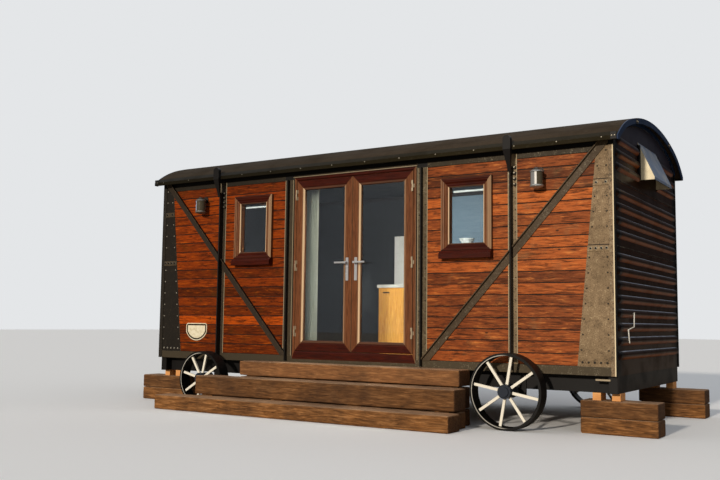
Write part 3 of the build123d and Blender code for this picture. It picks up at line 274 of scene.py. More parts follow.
class Shared:
    """The node groups that several finishes use."""

    def __init__(self) -> None:
        """Builds the groups."""
        self.grain, self.soil = self._grain(), self._soil()
        self.flecks, self.edges = self._flecks(), self._edges()

    @staticmethod
    def _grain() -> bpy.types.NodeTree:
        """Wood grain along the vector's first axis.

        Returns:
            A group that gives Streak, Fine and Height.
        """
        g = Group("wood_grain", {"Vector": "Vector"}, {"Streak": "Float", "Fine": "Float", "Height": "Float"})
        vector = g.start.outputs["Vector"]
        streak = g.noise(g.stretch(vector, (2.2, 20.0, 20.0)), 2.6, 6.0, 0.64, 0.8)
        fine = g.noise(g.stretch(vector, (4.0, 90.0, 90.0)), 2.0, 3.0, 0.6)
        height = g.sum("ADD", g.times(streak, 0.7), g.times(fine, 0.3))
        return g.give({"Streak": streak, "Fine": fine, "Height": height})

    @staticmethod
    def _soil() -> bpy.types.NodeTree:
        """Dirt in soft patches.

        Returns:
            A group that gives the soiled Color and a Patch mask.
        """
        kinds = {"Color": "Color", "Dirt": "Color", "Amount": "Float", "Vector": "Vector"}
        g = Group("soil", kinds, {"Color": "Color", "Patch": "Float"})
        given = g.start.outputs
        patch = g.fit(g.noise(given["Vector"], 2.6, 6.0, 0.62), 0.38, 0.72)
        return g.give({"Color": g.mix(g.times(patch, given["Amount"]), given["Color"], given["Dirt"]), "Patch": patch})

    @staticmethod
    def _flecks() -> bpy.types.NodeTree:
        """Small pits and pale specks in old paint.

        Returns:
            A group that gives Pits, Specks and Height.
        """
        g = Group("flecks", {"Vector": "Vector"}, {"Pits": "Float", "Specks": "Float", "Height": "Float"})
        vector = g.start.outputs["Vector"]
        fine, coarse = g.noise(vector, 95.0, 4.0, 0.7), g.noise(vector, 26.0, 5.0, 0.65)
        both = g.sum("ADD", g.times(fine, 0.6), g.times(coarse, 0.4))
        return g.give({"Pits": g.fit(both, 0.49, 0.40), "Specks": g.fit(both, 0.53, 0.66), "Height": both})

    @staticmethod
    def _edges() -> bpy.types.NodeTree:
        """The rounded normal of sharp edges and a mask of where they are.

        Returns:
            A group that gives Normal and Mask.
        """
        g = Group("edges", {"Radius": "Float"}, {"Normal": "Vector", "Mask": "Float"})
        rounded = g.add("Bevel", {0: g.start.outputs["Radius"]}, samples=4).outputs[0]
        along = g.dot(rounded, g.add("NewGeometry").outputs["True Normal"])
        return g.give({"Normal": rounded, "Mask": g.fit(g.sum("ABSOLUTE", along), 0.995, 0.9)})


class Surface(Graph):
    """The graph of a material round its principled shader."""

    def __init__(self, name: str, fixed: dict[str, float] | None = None) -> None:
        """Starts the material.

        Args:
            name: its name.
            fixed: the shader's constants by socket.
        """
        self.made = bpy.data.materials.new(name)
        self.made.use_nodes = True
        super().__init__(self.made.node_tree)
        self.shader = self.add("BsdfPrincipled")
        self.end = self.add("OutputMaterial", {0: self.shader.outputs[0]})
        for label, value in {"Specular IOR Level": 0.2, **(fixed or {})}.items():
            self.shader.inputs[label].default_value = value

    def dress(self, colour: Socket, rough: Socket | None = None, normal: Socket | None = None) -> bpy.types.Material:
        """Feeds the shader.

        Args:
            colour: the base colour.
            rough: the roughness, where it varies.
            normal: the normal, where it varies.

        Returns:
            The finished material.
        """
        for label, value in (("Base Color", colour), ("Roughness", rough), ("Normal", normal)):
            if value is not None:
                self.feed(self.shader.inputs[label], value)
        return self.made


class Run(Enum):
    """The way the grain runs, as the turn that puts it on the first axis."""

    X = (0.0, 0.0, 0.0)
    Z = (0.0, math.pi / 2, 0.0)


@dataclass(frozen=True)
class Zone:
    """A band of the object that has another colour, by its distance from some planes in turn."""

    axis: int
    about: tuple[float, ...]
    low: float
    high: float
    colour: Rgb
    share: float = 1.0
    soft: float = 0.0005

    def lay(self, g: Graph, vector: Socket, colour: Socket) -> Socket:
        """Lays the band over a colour.

        Args:
            g: the material's graph.
            vector: Object coordinates.
            colour: what is under it.

        Returns:
            The colour with the band.
        """
        value = g.split(vector)[self.axis]
        for centre in self.about:
            value = g.sum("ABSOLUTE", g.sum("SUBTRACT", value, centre))
        inside = g.fit(value, self.low - self.soft, self.low + self.soft)
        beyond = g.fit(value, self.high + self.soft, self.high - self.soft)
        return g.over(colour, g.times(g.times(inside, beyond), self.share), self.colour)


@dataclass(frozen=True)
class Tint:
    """Another colour on the faces that look one way, mostly painted light and shade that follow which way a face looks.
    """

    way: Place
    colour: Rgb
    share: float = 0.7
    low: float = 0.3
    high: float = 0.75

    def lay(self, g: Graph, vector: Socket, colour: Socket) -> Socket:
        """Lays the tint over a colour.

        Args:
            g: the material's graph.
            vector: Object coordinates.
            colour: what is under it.

        Returns:
            The tinted colour.
        """
        along = g.dot(g.add("TexCoord").outputs["Normal"], self.way)
        # noise that breaks up the painted light and shade so it is not even
        worn = g.fit(g.noise(vector, 6.0, 4.0, 0.6), 0.25, 0.6, 0.65, 1.0)
        return g.over(colour, g.times(g.fit(along, self.low, self.high, 0.0, self.share), worn), self.colour)


@dataclass(frozen=True)
class Wood:
    """A wood finish: colours from dark to light, how the grain runs and how worn it is."""

    name: str
    dark: Rgb
    mid: Rgb
    light: Rgb
    run: Run = Run.X
    rough: float = 0.6
    dirt: Rgb = (40, 30, 24)
    soiled: float = 0.3
    bump: float = 0.25
    coat: float = 0.0
    over: tuple[Zone | Tint, ...] = ()

    def build(self, shared: Shared) -> bpy.types.Material:
        """Makes the material.

        Args:
            shared: the node groups.

        Returns:
            The material of this finish.
        """
        g = Surface(self.name, {"Coat Weight": self.coat})
        vector = g.place(turn=self.run.value)
        grain = g.use(shared.grain, {"Vector": vector})
        colour = g.ramp(grain["Streak"], [(0.30, self.dark), (0.5, self.mid), (0.72, self.light)])
        for layer in self.over:
            colour = layer.lay(g, vector, colour)
        colour = g.over(colour, g.fit(grain["Fine"], 0.62, 0.4, 0.0, 0.45), self.dark)
        dirty = {"Color": colour, "Dirt": linear(self.dirt), "Amount": self.soiled, "Vector": g.place()}
        rough = g.fit(grain["Streak"], 0.3, 0.8, self.rough + 0.08, self.rough - 0.08)
        return g.dress(g.use(shared.soil, dirty)["Color"], rough, g.bump(grain["Height"], self.bump, 0.004))


@dataclass(frozen=True)
class Paint:
    """Painted or bare steel: its colour at the right and the left of the cabin, whose difference is painted shade that
    darkens the left, its flecks and its shine.
    """

    name: str
    right: Rgb
    left: Rgb
    rough: float = 0.5
    metallic: float = 0.0
    flecks: float = 0.0
    pits: Rgb = (40, 36, 32)
    specks: Rgb = (190, 180, 155)
    worn: Rgb = (150, 140, 120)
    wear: float = 0.3
    bump: float = 0.1
    gloss: float = 0.2
    over: tuple[Zone | Tint, ...] = ()

    def build(self, shared: Shared) -> bpy.types.Material:
        """Makes the material.

        Args:
            shared: the node groups.

        Returns:
            The material of this finish.
        """
        g = Surface(self.name, {"Metallic": self.metallic, "Specular IOR Level": self.gloss})
        vector = g.place()
        # painted shade: the colour darkens from the right of the cabin to the left (plate_rivet brightens there
        # instead, as painted highlights)
        side = g.fit(g.split(vector)[X], -1.6, 1.2)
        colour = g.mix(side, linear(self.left), linear(self.right))
        fleck = g.use(shared.flecks, {"Vector": vector})
        # the flecks fade into the painted shade towards the left
        strength = g.fit(side, 0.0, 1.0, self.flecks * 0.08, self.flecks)
        colour = g.over(colour, g.times(fleck["Pits"], strength), self.pits)
        colour = g.over(colour, g.times(fleck["Specks"], strength), self.specks)
        dirt = g.mix(side, *(linear(tuple(int(c * 0.55) for c in paint)) for paint in (self.left, self.right)))
        soil = g.use(shared.soil, {"Color": colour, "Dirt": dirt, "Amount": 0.35, "Vector": vector})
        colour, normal = soil["Color"], None
        if self.wear:
            edge = g.use(shared.edges, {"Radius": 0.004})
            rubbed = g.times(edge["Mask"], g.fit(g.noise(vector, 22.0), 0.35, 0.6, 0.0, self.wear))
            colour, normal = g.over(colour, rubbed, self.worn), edge["Normal"]
        for layer in self.over:
            colour = layer.lay(g, vector, colour)
        rough = g.fit(soil["Patch"], 0.0, 1.0, self.rough, self.rough + 0.12)
        return g.dress(colour, rough, g.bump(fleck["Height"], self.bump, normal=normal))


@dataclass(frozen=True)
class Wheel:
    """Black cast iron with white spokes and a painted highlight on the rim's inner edge at its left, by the hub's x and
    z and the radii inside the rim and of the hub.
    """

    name: str
    centre: Span
    rim: float
    hub: float = 0.064
    spoke_end: float = 0.007
    lip_highlight: Span = (0.008, 0.005)
    lip_highlight_front: Span = (-1.104, -1.108)

    def build(self, _: Shared) -> bpy.types.Material:
        """Makes the material.

        Args:
            _: the node groups, none of which a wheel uses.

        Returns:
            The material of this finish.
        """
        g = Surface(self.name, {"Roughness": 0.5})
        vector = g.place(move=(-self.centre[0], 0.0, -self.centre[1]))
        x, y, z = g.split(vector)
        radius = g.length(x, z)
        end = self.rim - self.spoke_end
        spoke = g.times(g.sum("LESS_THAN", radius, end), g.sum("GREATER_THAN", radius, self.hub))
        chipped = g.fit(g.noise(vector, 30.0, 5.0, 0.7), 0.70, 0.62, 0.3, 1.0)
        iron = g.over(linear((12, 11, 10)), g.sum("LESS_THAN", radius, self.hub), (34, 40, 50))
        # painted highlight: a pale line round the rim's inner edge, fading out towards the right of the wheel
        outer, inner = (self.rim + step for step in self.lip_highlight)
        lip_highlight = g.times(g.fit(radius, outer, inner), g.fit(x, 0.04, -0.05, 0.0, 0.85))
        lip_highlight = g.times(g.times(lip_highlight, g.fit(y, *self.lip_highlight_front)), g.sum("GREATER_THAN", radius, self.rim))
        iron = g.over(iron, lip_highlight, (190, 186, 176))
        colour = g.over(iron, g.times(spoke, chipped), (236, 230, 214))
        return g.dress(colour, normal=g.bump(g.noise(vector, 60.0), 0.3))


# stems near black: black paint, deepened as painted shade of their unlit sides
STEM_PAINT_AND_SHADE = Zone(Y, (SITE.middle,), 1.1495, FAR, (24, 21, 18))
# painted shadow under the eaves' overhang, laid on the steel above the boards
EAVE_SHADOW = Zone(Z, (), 2.489, FAR, (12, 10, 9), soft=0.004)
POST_EDGES = Zone(X, (0.0, SITE.post_x), 0.0495, 0.06, (186, 174, 142), 0.7)
FLANGE_EDGES = Zone(X, (0.0, SITE.stanchion_x), 0.0395, 0.05, (186, 174, 142), 0.7)
# joint strips tinted a little paler, each with a painted shadow line along its top
JOINT_TINT_AND_SHADOW = tuple(
    zone for foot in SITE.joint_feet for zone in (
        Zone(Z, (foot + SITE.joint_middle,), 0.0, SITE.joint_middle, (150, 128, 98), 0.15),
        Zone(Z, (foot + 0.056,), 0.0, 0.0045, (20, 17, 14)),
    )
)
FELT_LAPS = tuple(Zone(Z, (level,), 0.0, 0.0025, (30, 24, 17), 0.8, 0.0008) for level in (2.664, 2.742, 2.806, 2.850))
# sleepers: the top course paler as painted light, the middle course darker, tops paler as worn treads and painted
# light, end faces darker as painted shade
SLEEPER_TONES_AND_SHADE = (
    Zone(Z, (), 0.354, FAR, (150, 104, 70), 0.4), Zone(Z, (), 0.152, 0.354, (66, 46, 30), 0.45),
    Tint(UP, (196, 158, 124), 0.75), Tint(RIGHTWARDS, (84, 60, 44), 0.6), Tint(LEFTWARDS, (84, 60, 44), 0.6),
)
# end sheets: painted sky reflection on the ribs' tops and the upper sheet, painted ground light on the ribs'
# undersides, painted shade on the ribs' ends near the corners
END_SHEET_LIGHT_AND_SHADE = (
    Tint(UP, (196, 206, 222), 0.95, 0.66, 0.86), Tint(DOWN, (146, 76, 28), 0.8, 0.1, 0.5),
    Zone(Z, (), 2.55, FAR, (64, 74, 96), 0.4, 0.15), Zone(Y, (SITE.middle,), 0.99, FAR, (10, 9, 10), 0.92, 0.05),
)
# painted sky reflection on the hoods' sloped faces and painted shade on their undersides
HOOD_LIGHT_AND_SHADE = (
    Tint(RIGHTWARDS, (76, 106, 146), 0.9), Tint(LEFTWARDS, (76, 106, 146), 0.9), Tint(DOWN, (14, 13, 14), 1.0),
)
LAMP_TONES = (
    Zone(Y, (SITE.middle,), 0.0, 1.182, (18, 16, 15)), Zone(Z, (), 2.306, FAR, (60, 55, 50), 0.85, 0.002),
)
# painted highlights down the lamp glasses
LAMP_GLASS_HIGHLIGHTS = (
    Zone(X, (1.990,), 0.0, 0.022, (150, 152, 154), 0.8, 0.002),
    Zone(X, (2.020,), 0.0, 0.009, (255, 252, 246), 1.0, 0.002),
    Zone(X, (-2.044,), 0.0, 0.024, (160, 176, 200), 0.9, 0.003),
)
PLAIN_FINISHES = (
    Wood("wall_behind", (18, 12, 9), (26, 17, 12), (34, 22, 15)),
    Wood("sleeper_wood", (64, 40, 20), (134, 88, 46), (188, 134, 82), rough=0.85, soiled=0.55, bump=0.7,
         over=SLEEPER_TONES_AND_SHADE),
    Wood("fresh_wood", (200, 135, 80), (230, 165, 100), (240, 185, 125), rough=0.7, soiled=0.1),
    Wood("oak_wood", (186, 122, 48), (218, 154, 64), (236, 178, 88), Run.Z, rough=0.45, soiled=0.1, coat=0.2),
    Wood("worktop_stone", (185, 180, 168), (200, 196, 186), (214, 210, 202), rough=0.3, soiled=0.05, bump=0.02),
    Wood("floor_wood", (96, 66, 42), (128, 92, 60), (150, 112, 76), rough=0.4, coat=0.2),
    # the lining is near black to stand in for the dim room seen through the glass: painted shade
    Wood("lining_painted_shade", (30, 31, 31), (35, 36, 36), (40, 41, 41), rough=0.5, soiled=0.05, bump=0.03),
    # slate blue that stands in for the sky reflected in the glass: painted reflection
    Wood("kitchen_wall_sky_reflection", (106, 130, 146), (114, 138, 154), (122, 146, 160), rough=0.5, soiled=0.03, bump=0.02),
    Paint("flange_steel", (132, 112, 84), (58, 48, 36), flecks=0.6, wear=0.4, worn=(176, 160, 130),
          over=(FLANGE_EDGES, STEM_PAINT_AND_SHADE, EAVE_SHADOW)),
    # the zone above the boards' top is the same painted shadow under the eaves
    Paint("post_steel", (96, 82, 60), (54, 45, 33), flecks=0.6, worn=(150, 136, 108),
          over=(POST_EDGES, STEM_PAINT_AND_SHADE, Zone(Z, (), 2.444, FAR, (16, 14, 12), soft=0.004))),
    Paint("gusset_steel", (136, 113, 84), (22, 17, 10), flecks=1.0, rough=0.6, wear=0.4, worn=(196, 176, 140),
          pits=(84, 68, 48), specks=(188, 166, 130), bump=0.4, over=(*JOINT_TINT_AND_SHADOW, EAVE_SHADOW)),
    # corner angles: a painted highlight along the right corner's edge and painted shade on the flanges that face the
    # ends
    Paint("corner_steel", (138, 116, 88), (34, 29, 22), flecks=0.8, rough=0.55, wear=0.2,
          over=(Zone(X, (), 2.662, FAR, (232, 214, 178)), Zone(X, (0.0,), 2.6705, FAR, (16, 14, 13)), EAVE_SHADOW)),
    # braces: faces that look up are painted near black, a painted shade line along the upper edge
    Paint("brace_steel", (76, 61, 43), (44, 35, 25), flecks=0.35, wear=0.9, worn=(132, 112, 82),
          over=(Tint(UP, (14, 12, 11), 1.0, 0.2, 0.5),)),
    Paint("black_steel", (20, 18, 17), (18, 16, 15), rough=0.45, wear=0.2, worn=(90, 82, 70)),
    Paint("rail_steel", (54, 44, 26), (34, 28, 18), flecks=0.5,
          over=(Zone(Z, (), 0.0, 0.58, (96, 84, 64), 0.3), EAVE_SHADOW)),
    Paint("end_paint", (44, 23, 8), (44, 23, 8), rough=0.30, gloss=0.05, wear=0.0, over=END_SHEET_LIGHT_AND_SHADE),
    # pale zinc, its cream raised further to paint its sunlit side: partly painted light
    Paint("hood_zinc", (250, 236, 200), (250, 236, 200), rough=0.4, flecks=0.3, pits=(170, 150, 120),
          specks=(245, 232, 205), over=HOOD_LIGHT_AND_SHADE),
    # the arch trims' blue is painted sky reflection on their end-facing bands
    Paint("trim_sky_reflection", (30, 50, 82), (30, 50, 82), rough=0.35, gloss=0.1, wear=0.0),
    Paint("roof_felt", (58, 47, 33), (50, 41, 29), rough=0.8, flecks=0.4, pits=(50, 42, 36), specks=(96, 84, 72),
          bump=0.3, wear=0.0, gloss=0.1, over=FELT_LAPS),
    Paint("fascia_paint", (34, 28, 12), (26, 22, 12), rough=0.55, flecks=0.04, wear=0.0, gloss=0.05),
    Paint("lamp_steel", (164, 164, 160), (128, 124, 116), rough=0.35, metallic=0.6, flecks=0.2, over=LAMP_TONES),
    Paint("chrome", (206, 208, 212), (206, 208, 212), rough=0.2, metallic=0.45, wear=0.0, bump=0.0),
    Paint("hinge_metal", (176, 160, 134), (150, 134, 110), rough=0.35, metallic=0.3, wear=0.0, bump=0.0),
    Paint("bright_bolt", (184, 176, 156), (112, 108, 98), rough=0.4, metallic=0.3, flecks=0.4),
    Paint("dark_rivet", (42, 38, 33), (26, 24, 21), wear=0.5),
    # the much paler left colour is painted highlights on the left gusset's rivets
    Paint("plate_rivet", (42, 37, 30), (150, 144, 132), rough=0.45),
    Paint("white_metal", (226, 224, 216), (226, 224, 216), rough=0.4, flecks=0.1),
    Wheel("wheel_left_iron", (-1.8395, 0.297), 0.273),
    Wheel("wheel_right_iron", (1.7455, 0.338), 0.314),
)


class Finishes:
    """Every material of the cabin."""

    def __init__(self) -> None:
        """Builds the materials."""
        self.shared = Shared()
        self.table = {finish.name: finish.build(self.shared) for finish in PLAIN_FINISHES}
        self.table |= {
            "plank_wood": self._planks(), "joinery_foil": self._joinery(), "pane_glass": self._glass(),
            "lamp_glass": self._lamp_glass(), "curtain_cloth": self._cloth(), "enamel": self._plate(),
        }

    def __getitem__(self, name: str) -> bpy.types.Material:
        """A material by its name."""
        return self.table[name]

    def _planks(self) -> bpy.types.Material:
        """Stained wall boards, each with the tone kept on its vertices, darkened towards the left of the cabin as
        painted shade.

        Returns:
            The material.
        """
        g = Surface("plank_wood", {"Specular IOR Level": 0.08})
        tone = g.add("Attribute", attribute_name="tone").outputs["Fac"]
        shift = g.add("CombineXYZ", {0: g.times(tone, 37.0), 1: 0.0, 2: g.times(tone, 11.0)}).outputs[0]
        vector = g.add("VectorMath", {0: g.place(), 1: shift}, operation="ADD").outputs[0]
        grain = g.use(self.shared.grain, {"Vector": vector})
        colour = g.ramp(tone, [
            (0.0, (66, 32, 17)), (0.22, (96, 46, 24)), (0.5, (124, 60, 29)), (0.78, (156, 76, 34)),
            (1.0, (190, 96, 40)),
        ])
        streaks = g.noise(g.stretch(vector, (1.8, 40.0, 40.0)), 2.6, 5.0, 0.65)
        knots = g.spots(g.stretch(vector, (1.0, 2.0, 2.0)), 3.3)
        greyed = g.noise(vector, 3.1, 6.0, 0.65)
        stains = g.noise(g.stretch(vector, (1.0, 2.6, 2.6)), 6.5, 5.0, 0.7)
        for value, low, high, share, rgb in (
            (grain["Streak"], 0.50, 0.34, 0.8, (38, 18, 9)), (grain["Streak"], 0.53, 0.70, 0.5, (206, 122, 62)),
            (streaks, 0.52, 0.68, 0.75, (42, 22, 14)), (grain["Fine"], 0.5, 0.3, 0.5, (52, 29, 21)),
            (knots, 0.075, 0.03, 0.85, (30, 18, 14)), (greyed, 0.56, 0.74, 0.45, (106, 78, 54)),
            (stains, 0.52, 0.68, 0.6, (62, 32, 20)),
        ):
            colour = g.over(colour, g.fit(value, low, high, 0.0, share), rgb)
        # painted shade: the boards are darkened and warmed towards the left of the cabin
        side = g.fit(g.split(g.place())[X], -1.2, 2.2)
        left_shade_tint = g.mix(side, (0.86, 0.58, 0.12, 1.0), (1.42, 1.60, 1.54, 1.0))
        rough = g.fit(grain["Streak"], 0.3, 0.7, 0.62, 0.42)
        return g.dress(g.mix(1.0, colour, left_shade_tint, "MULTIPLY"), rough, g.bump(grain["Height"], 0.5, 0.004))

    def _joinery(self) -> bpy.types.Material:
        """Mahogany joinery: browner uprights and redder rails, with fine grain along each, and painted highlights on
        the beads.

        Returns:
            The material.
        """
        g = Surface("joinery_foil", {"Specular IOR Level": 0.1})
        upright, bead_highlight = (g.add("Attribute", attribute_name=name).outputs["Fac"] for name in ("upright", "bead_highlight"))
        flat, stood = (g.use(self.shared.grain, {"Vector": g.place(turn=run.value)}) for run in (Run.X, Run.Z))
        fine, streak = (
            g.add("Mix", {0: upright, 2: flat[label], 3: stood[label]}).outputs[0] for label in ("Fine", "Streak")
        )
        rails = g.ramp(streak, [(0.3, (42, 11, 5)), (0.7, (74, 23, 10))])
        stiles = g.ramp(streak, [(0.3, (92, 54, 32)), (0.7, (124, 76, 47))])
        colour = g.over(g.mix(upright, rails, stiles), g.fit(fine, 0.52, 0.36, 0.0, 0.5), (44, 18, 15))
        # painted highlights on the beads, mostly on the uprights
        pale = g.times(bead_highlight, g.fit(upright, 0.0, 1.0, 0.08, 1.0))
        colour = g.over(colour, pale, (208, 178, 142))
        return g.dress(colour, g.fit(fine, 0.3, 0.7, 0.46, 0.34), g.bump(fine, 0.12))

    def _glass(self) -> bpy.types.Material:
        """Clear glass, which lets the light through to the room.

        Returns:
            The material.
        """
        g = Surface("pane_glass", {
            "Roughness": 0.0, "Specular IOR Level": 0.5, "Transmission Weight": 1.0, "IOR": 1.5,
        })
        tint = g.fit(g.noise(g.place(), 1.5), 0.3, 0.7, 0.9, 1.0)
        colour = g.add("CombineColor", {0: g.times(tint, 0.86), 1: g.times(tint, 0.93), 2: tint}).outputs[0]
        clear = g.add("BsdfTransparent", {0: (0.8, 0.87, 0.9, 1.0)}).outputs[0]
        shadow = g.add("LightPath").outputs["Is Shadow Ray"]
        both = g.add("MixShader", {0: shadow, 1: g.shader.outputs[0], 2: clear})
        g.feed(g.end.inputs[0], both.outputs[0])
        return g.dress(colour)

    def _plate(self) -> bpy.types.Material:
        """Cream enamel with a dark line inside its edge, which is square above and round below.

        Returns:
            The material.
        """
        g = Surface("enamel", {"Roughness": 0.35})
        half, height, corner, foot = 0.157, 0.196, 0.030, 0.1748
        vector = g.place(move=(2.09875, 0.0, -0.901))
        x, _, z = g.split(vector)
        aside = g.sum("MAXIMUM", g.sum("SUBTRACT", g.sum("ABSOLUTE", x), half - corner))
        above = g.sum("MAXIMUM", g.sum("ADD", z, corner))
        inset = g.sum(
            "MINIMUM", g.sum("SUBTRACT", corner, g.length(aside, above)),
            g.sum("SUBTRACT", foot, g.length(x, g.sum("ADD", z, height - foot))),
        )
        line = g.times(g.fit(inset, 0.009, 0.010), g.fit(inset, 0.027, 0.026))
        cream = g.ramp(g.noise(vector, 28.0, 5.0, 0.6), [(0.3, (196, 184, 150)), (0.55, (226, 217, 190))])
        return g.dress(g.over(cream, line, (38, 30, 24)), normal=g.bump(line, 0.4))

    def _lamp_glass(self) -> bpy.types.Material:
        """Dim lamp glass with painted highlights down it.

        Returns:
            The material.
        """
        g = Surface("lamp_glass", {"Roughness": 0.18, "Transmission Weight": 0.2, "IOR": 1.45})
        tint = g.fit(g.noise(g.place(), 40.0), 0.3, 0.7, 0.9, 1.0)
        parts = {index: g.times(tint, share) for index, share in enumerate((0.09, 0.075, 0.05))}
        colour = g.add("CombineColor", parts).outputs[0]
        # lays the painted highlights
        for streak in LAMP_GLASS_HIGHLIGHTS:
            colour = streak.lay(g, g.place(), colour)
        return g.dress(colour)

    def _cloth(self) -> bpy.types.Material:
        """Woven cream cloth.

        Returns:
            The material.
        """
        g = Surface("curtain_cloth", {"Roughness": 0.9, "Sheen Weight": 0.3})
        weave = g.noise(g.place(scale=(1.0, 1.0, 0.25)), 400.0, 2.0)
        colour = g.ramp(weave, [(0.3, (140, 138, 120)), (0.7, (170, 166, 146))])
        return g.dress(colour, normal=g.bump(weave, 0.2, 0.001))


def linked(name: str, data: bpy.types.ID) -> bpy.types.Object:
    """Puts a new object with some data in the scene.

    Args:
        name: the object's name.
        data: its mesh, curve, lamp or camera.

    Returns:
        The object.
    """
    made = bpy.data.objects.new(name, data)
    bpy.context.scene.collection.objects.link(made)
    return made


@dataclass(frozen=True)
class Head:
    """A rivet or bolt head: its foot's radius, its height, its sides and its top's share of the foot's radius."""

    radius: float
    height: float
    sides: int = 8
    taper: float = 0.6


class Piece:
    """A visual piece in the making."""

    def __init__(self, name: str, layers: tuple[str, ...] = ()) -> None:
        """Starts the mesh.

        Args:
            name: the piece's name.
            layers: the numbers that its faces keep for the material.
        """
        self.name, self.bm = name, bmesh.new()
        for layer in layers:
            self.bm.faces.layers.float.new(layer)

    def block(self, one: Place, other: Place, bevel: float = 0.0, steps: int = 1) -> None:
        """Adds a box with bevelled edges.

        Args:
            one: a corner.
            other: the opposite corner.
            bevel: the bevels' width.
            steps: the bevels' steps.
        """
        low, high = (Vector([pick(pair) for pair in zip(one, other)]) for pick in (min, max))
        place = Matrix.Translation((low + high) / 2) @ Matrix.Diagonal((*(high - low), 1.0))
        verts = bmesh.ops.create_cube(self.bm, size=1.0, matrix=place)["verts"]
        if bevel:
            edges = list(dict.fromkeys(edge for vert in verts for edge in vert.link_edges))
            bmesh.ops.bevel(
                self.bm, geom=edges, offset=bevel, offset_type="OFFSET", segments=steps, profile=0.5,
                affect="EDGES", material=-1,
            )

    def stud(self, place: Place, axis: Place, head: Head) -> None:
        """Adds a rivet or bolt head.

        Args:
            place: the middle of its foot.
            axis: the way it points.
            head: its size.
        """
        turn = Vector(axis).to_track_quat("Z", "Y").to_matrix().to_4x4()
        centre = Vector(place) + Vector(axis) * head.height / 2
        bmesh.ops.create_cone(
            self.bm, cap_ends=True, segments=head.sides, radius1=head.radius, radius2=head.radius * head.taper,
            depth=head.height, matrix=Matrix.Translation(centre) @ turn,
        )

    def moulding(self, span: Span, rise: Span, profile: list[Span], shares: Place, beads: dict[int, Span]) -> None:
        """Adds a mitred frame round an upright rectangle, with a moulded section.

        Args:
            span: the rectangle's low and high x.
            rise: its low and high z.
            profile: the closed section as steps inwards and places along y.
            shares: factors on the steps inwards at the sides, the foot and the head.
            beads: the share of painted highlight on the left and the right member, by the number of the section's face.
        """
        bm, (side, foot, head) = self.bm, shares
        across, up = sum(span) / 2, sum(rise) / 2

        def put(vert: bmesh.types.BMVert, step: Span) -> None:
            """Moves a corner's vertex to its place at one step of the section.

            Args:
                vert: the vertex.
                step: the step inwards and the place along y.
            """
            x = span[0] + step[0] * side if vert.co.x < across else span[1] - step[0] * side
            z = rise[0] + step[0] * foot if vert.co.z < up else rise[1] - step[0] * head
            vert.co = (x, step[1], z)

        ring = [bm.verts.new((span[i], 0.0, rise[j])) for i, j in ((0, 0), (1, 0), (1, 1), (0, 1))]
        for vert in ring:
            put(vert, profile[0])
        edges = [bm.edges.new((ring[i], ring[(i + 1) % 4])) for i in range(4)]
        upright, bead_highlight = bm.faces.layers.float["upright"], bm.faces.layers.float["bead_highlight"]
        for index in range(len(profile)):
            made = bmesh.ops.extrude_edge_only(bm, edges=edges)["geom"]
            last = [item for item in made if isinstance(item, bmesh.types.BMVert)]
            for vert in last:
                put(vert, profile[(index + 1) % len(profile)])
            for face in (item for item in made if isinstance(item, bmesh.types.BMFace)):
                ways = {vert.co.x > across for vert in face.verts}
                face[upright] = float(len(ways) == 1)
                face[bead_highlight] = beads.get(index, (0.0, 0.0))[ways == {True}]
            edges = [edge for edge in made if isinstance(edge, bmesh.types.BMEdge) and set(edge.verts) <= set(last)]
        bmesh.ops.remove_doubles(bm, verts=ring + last, dist=MERGE)

    def done(
        self, finish: bpy.types.Material, body: str = "cabin", smooth: bool = False, node: str = "", slot: str = ""
    ) -> bpy.types.Object:
        """Turns the mesh into a piece on a body.

        Args:
            finish: its material.
            body: the CAD body it rides on.
            smooth: whether its faces are shaded smooth.
            node: the CAD node it replaces, if any.
            slot: that node's material slot, which is not used.

        Returns:
            The piece.
        """
        bmesh.ops.recalc_face_normals(self.bm, faces=self.bm.faces[:])
        for face in self.bm.faces:
            face.smooth = smooth
        mesh = bpy.data.meshes.new(self.name)
        self.bm.to_mesh(mesh)
        self.bm.free()
        mesh.materials.append(finish)
        piece = linked(self.name, mesh)
        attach(piece, body)
        if node:
            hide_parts(node)
        LOG.info("%s: %d faces on %s", self.name, len(mesh.polygons), body)
        return piece


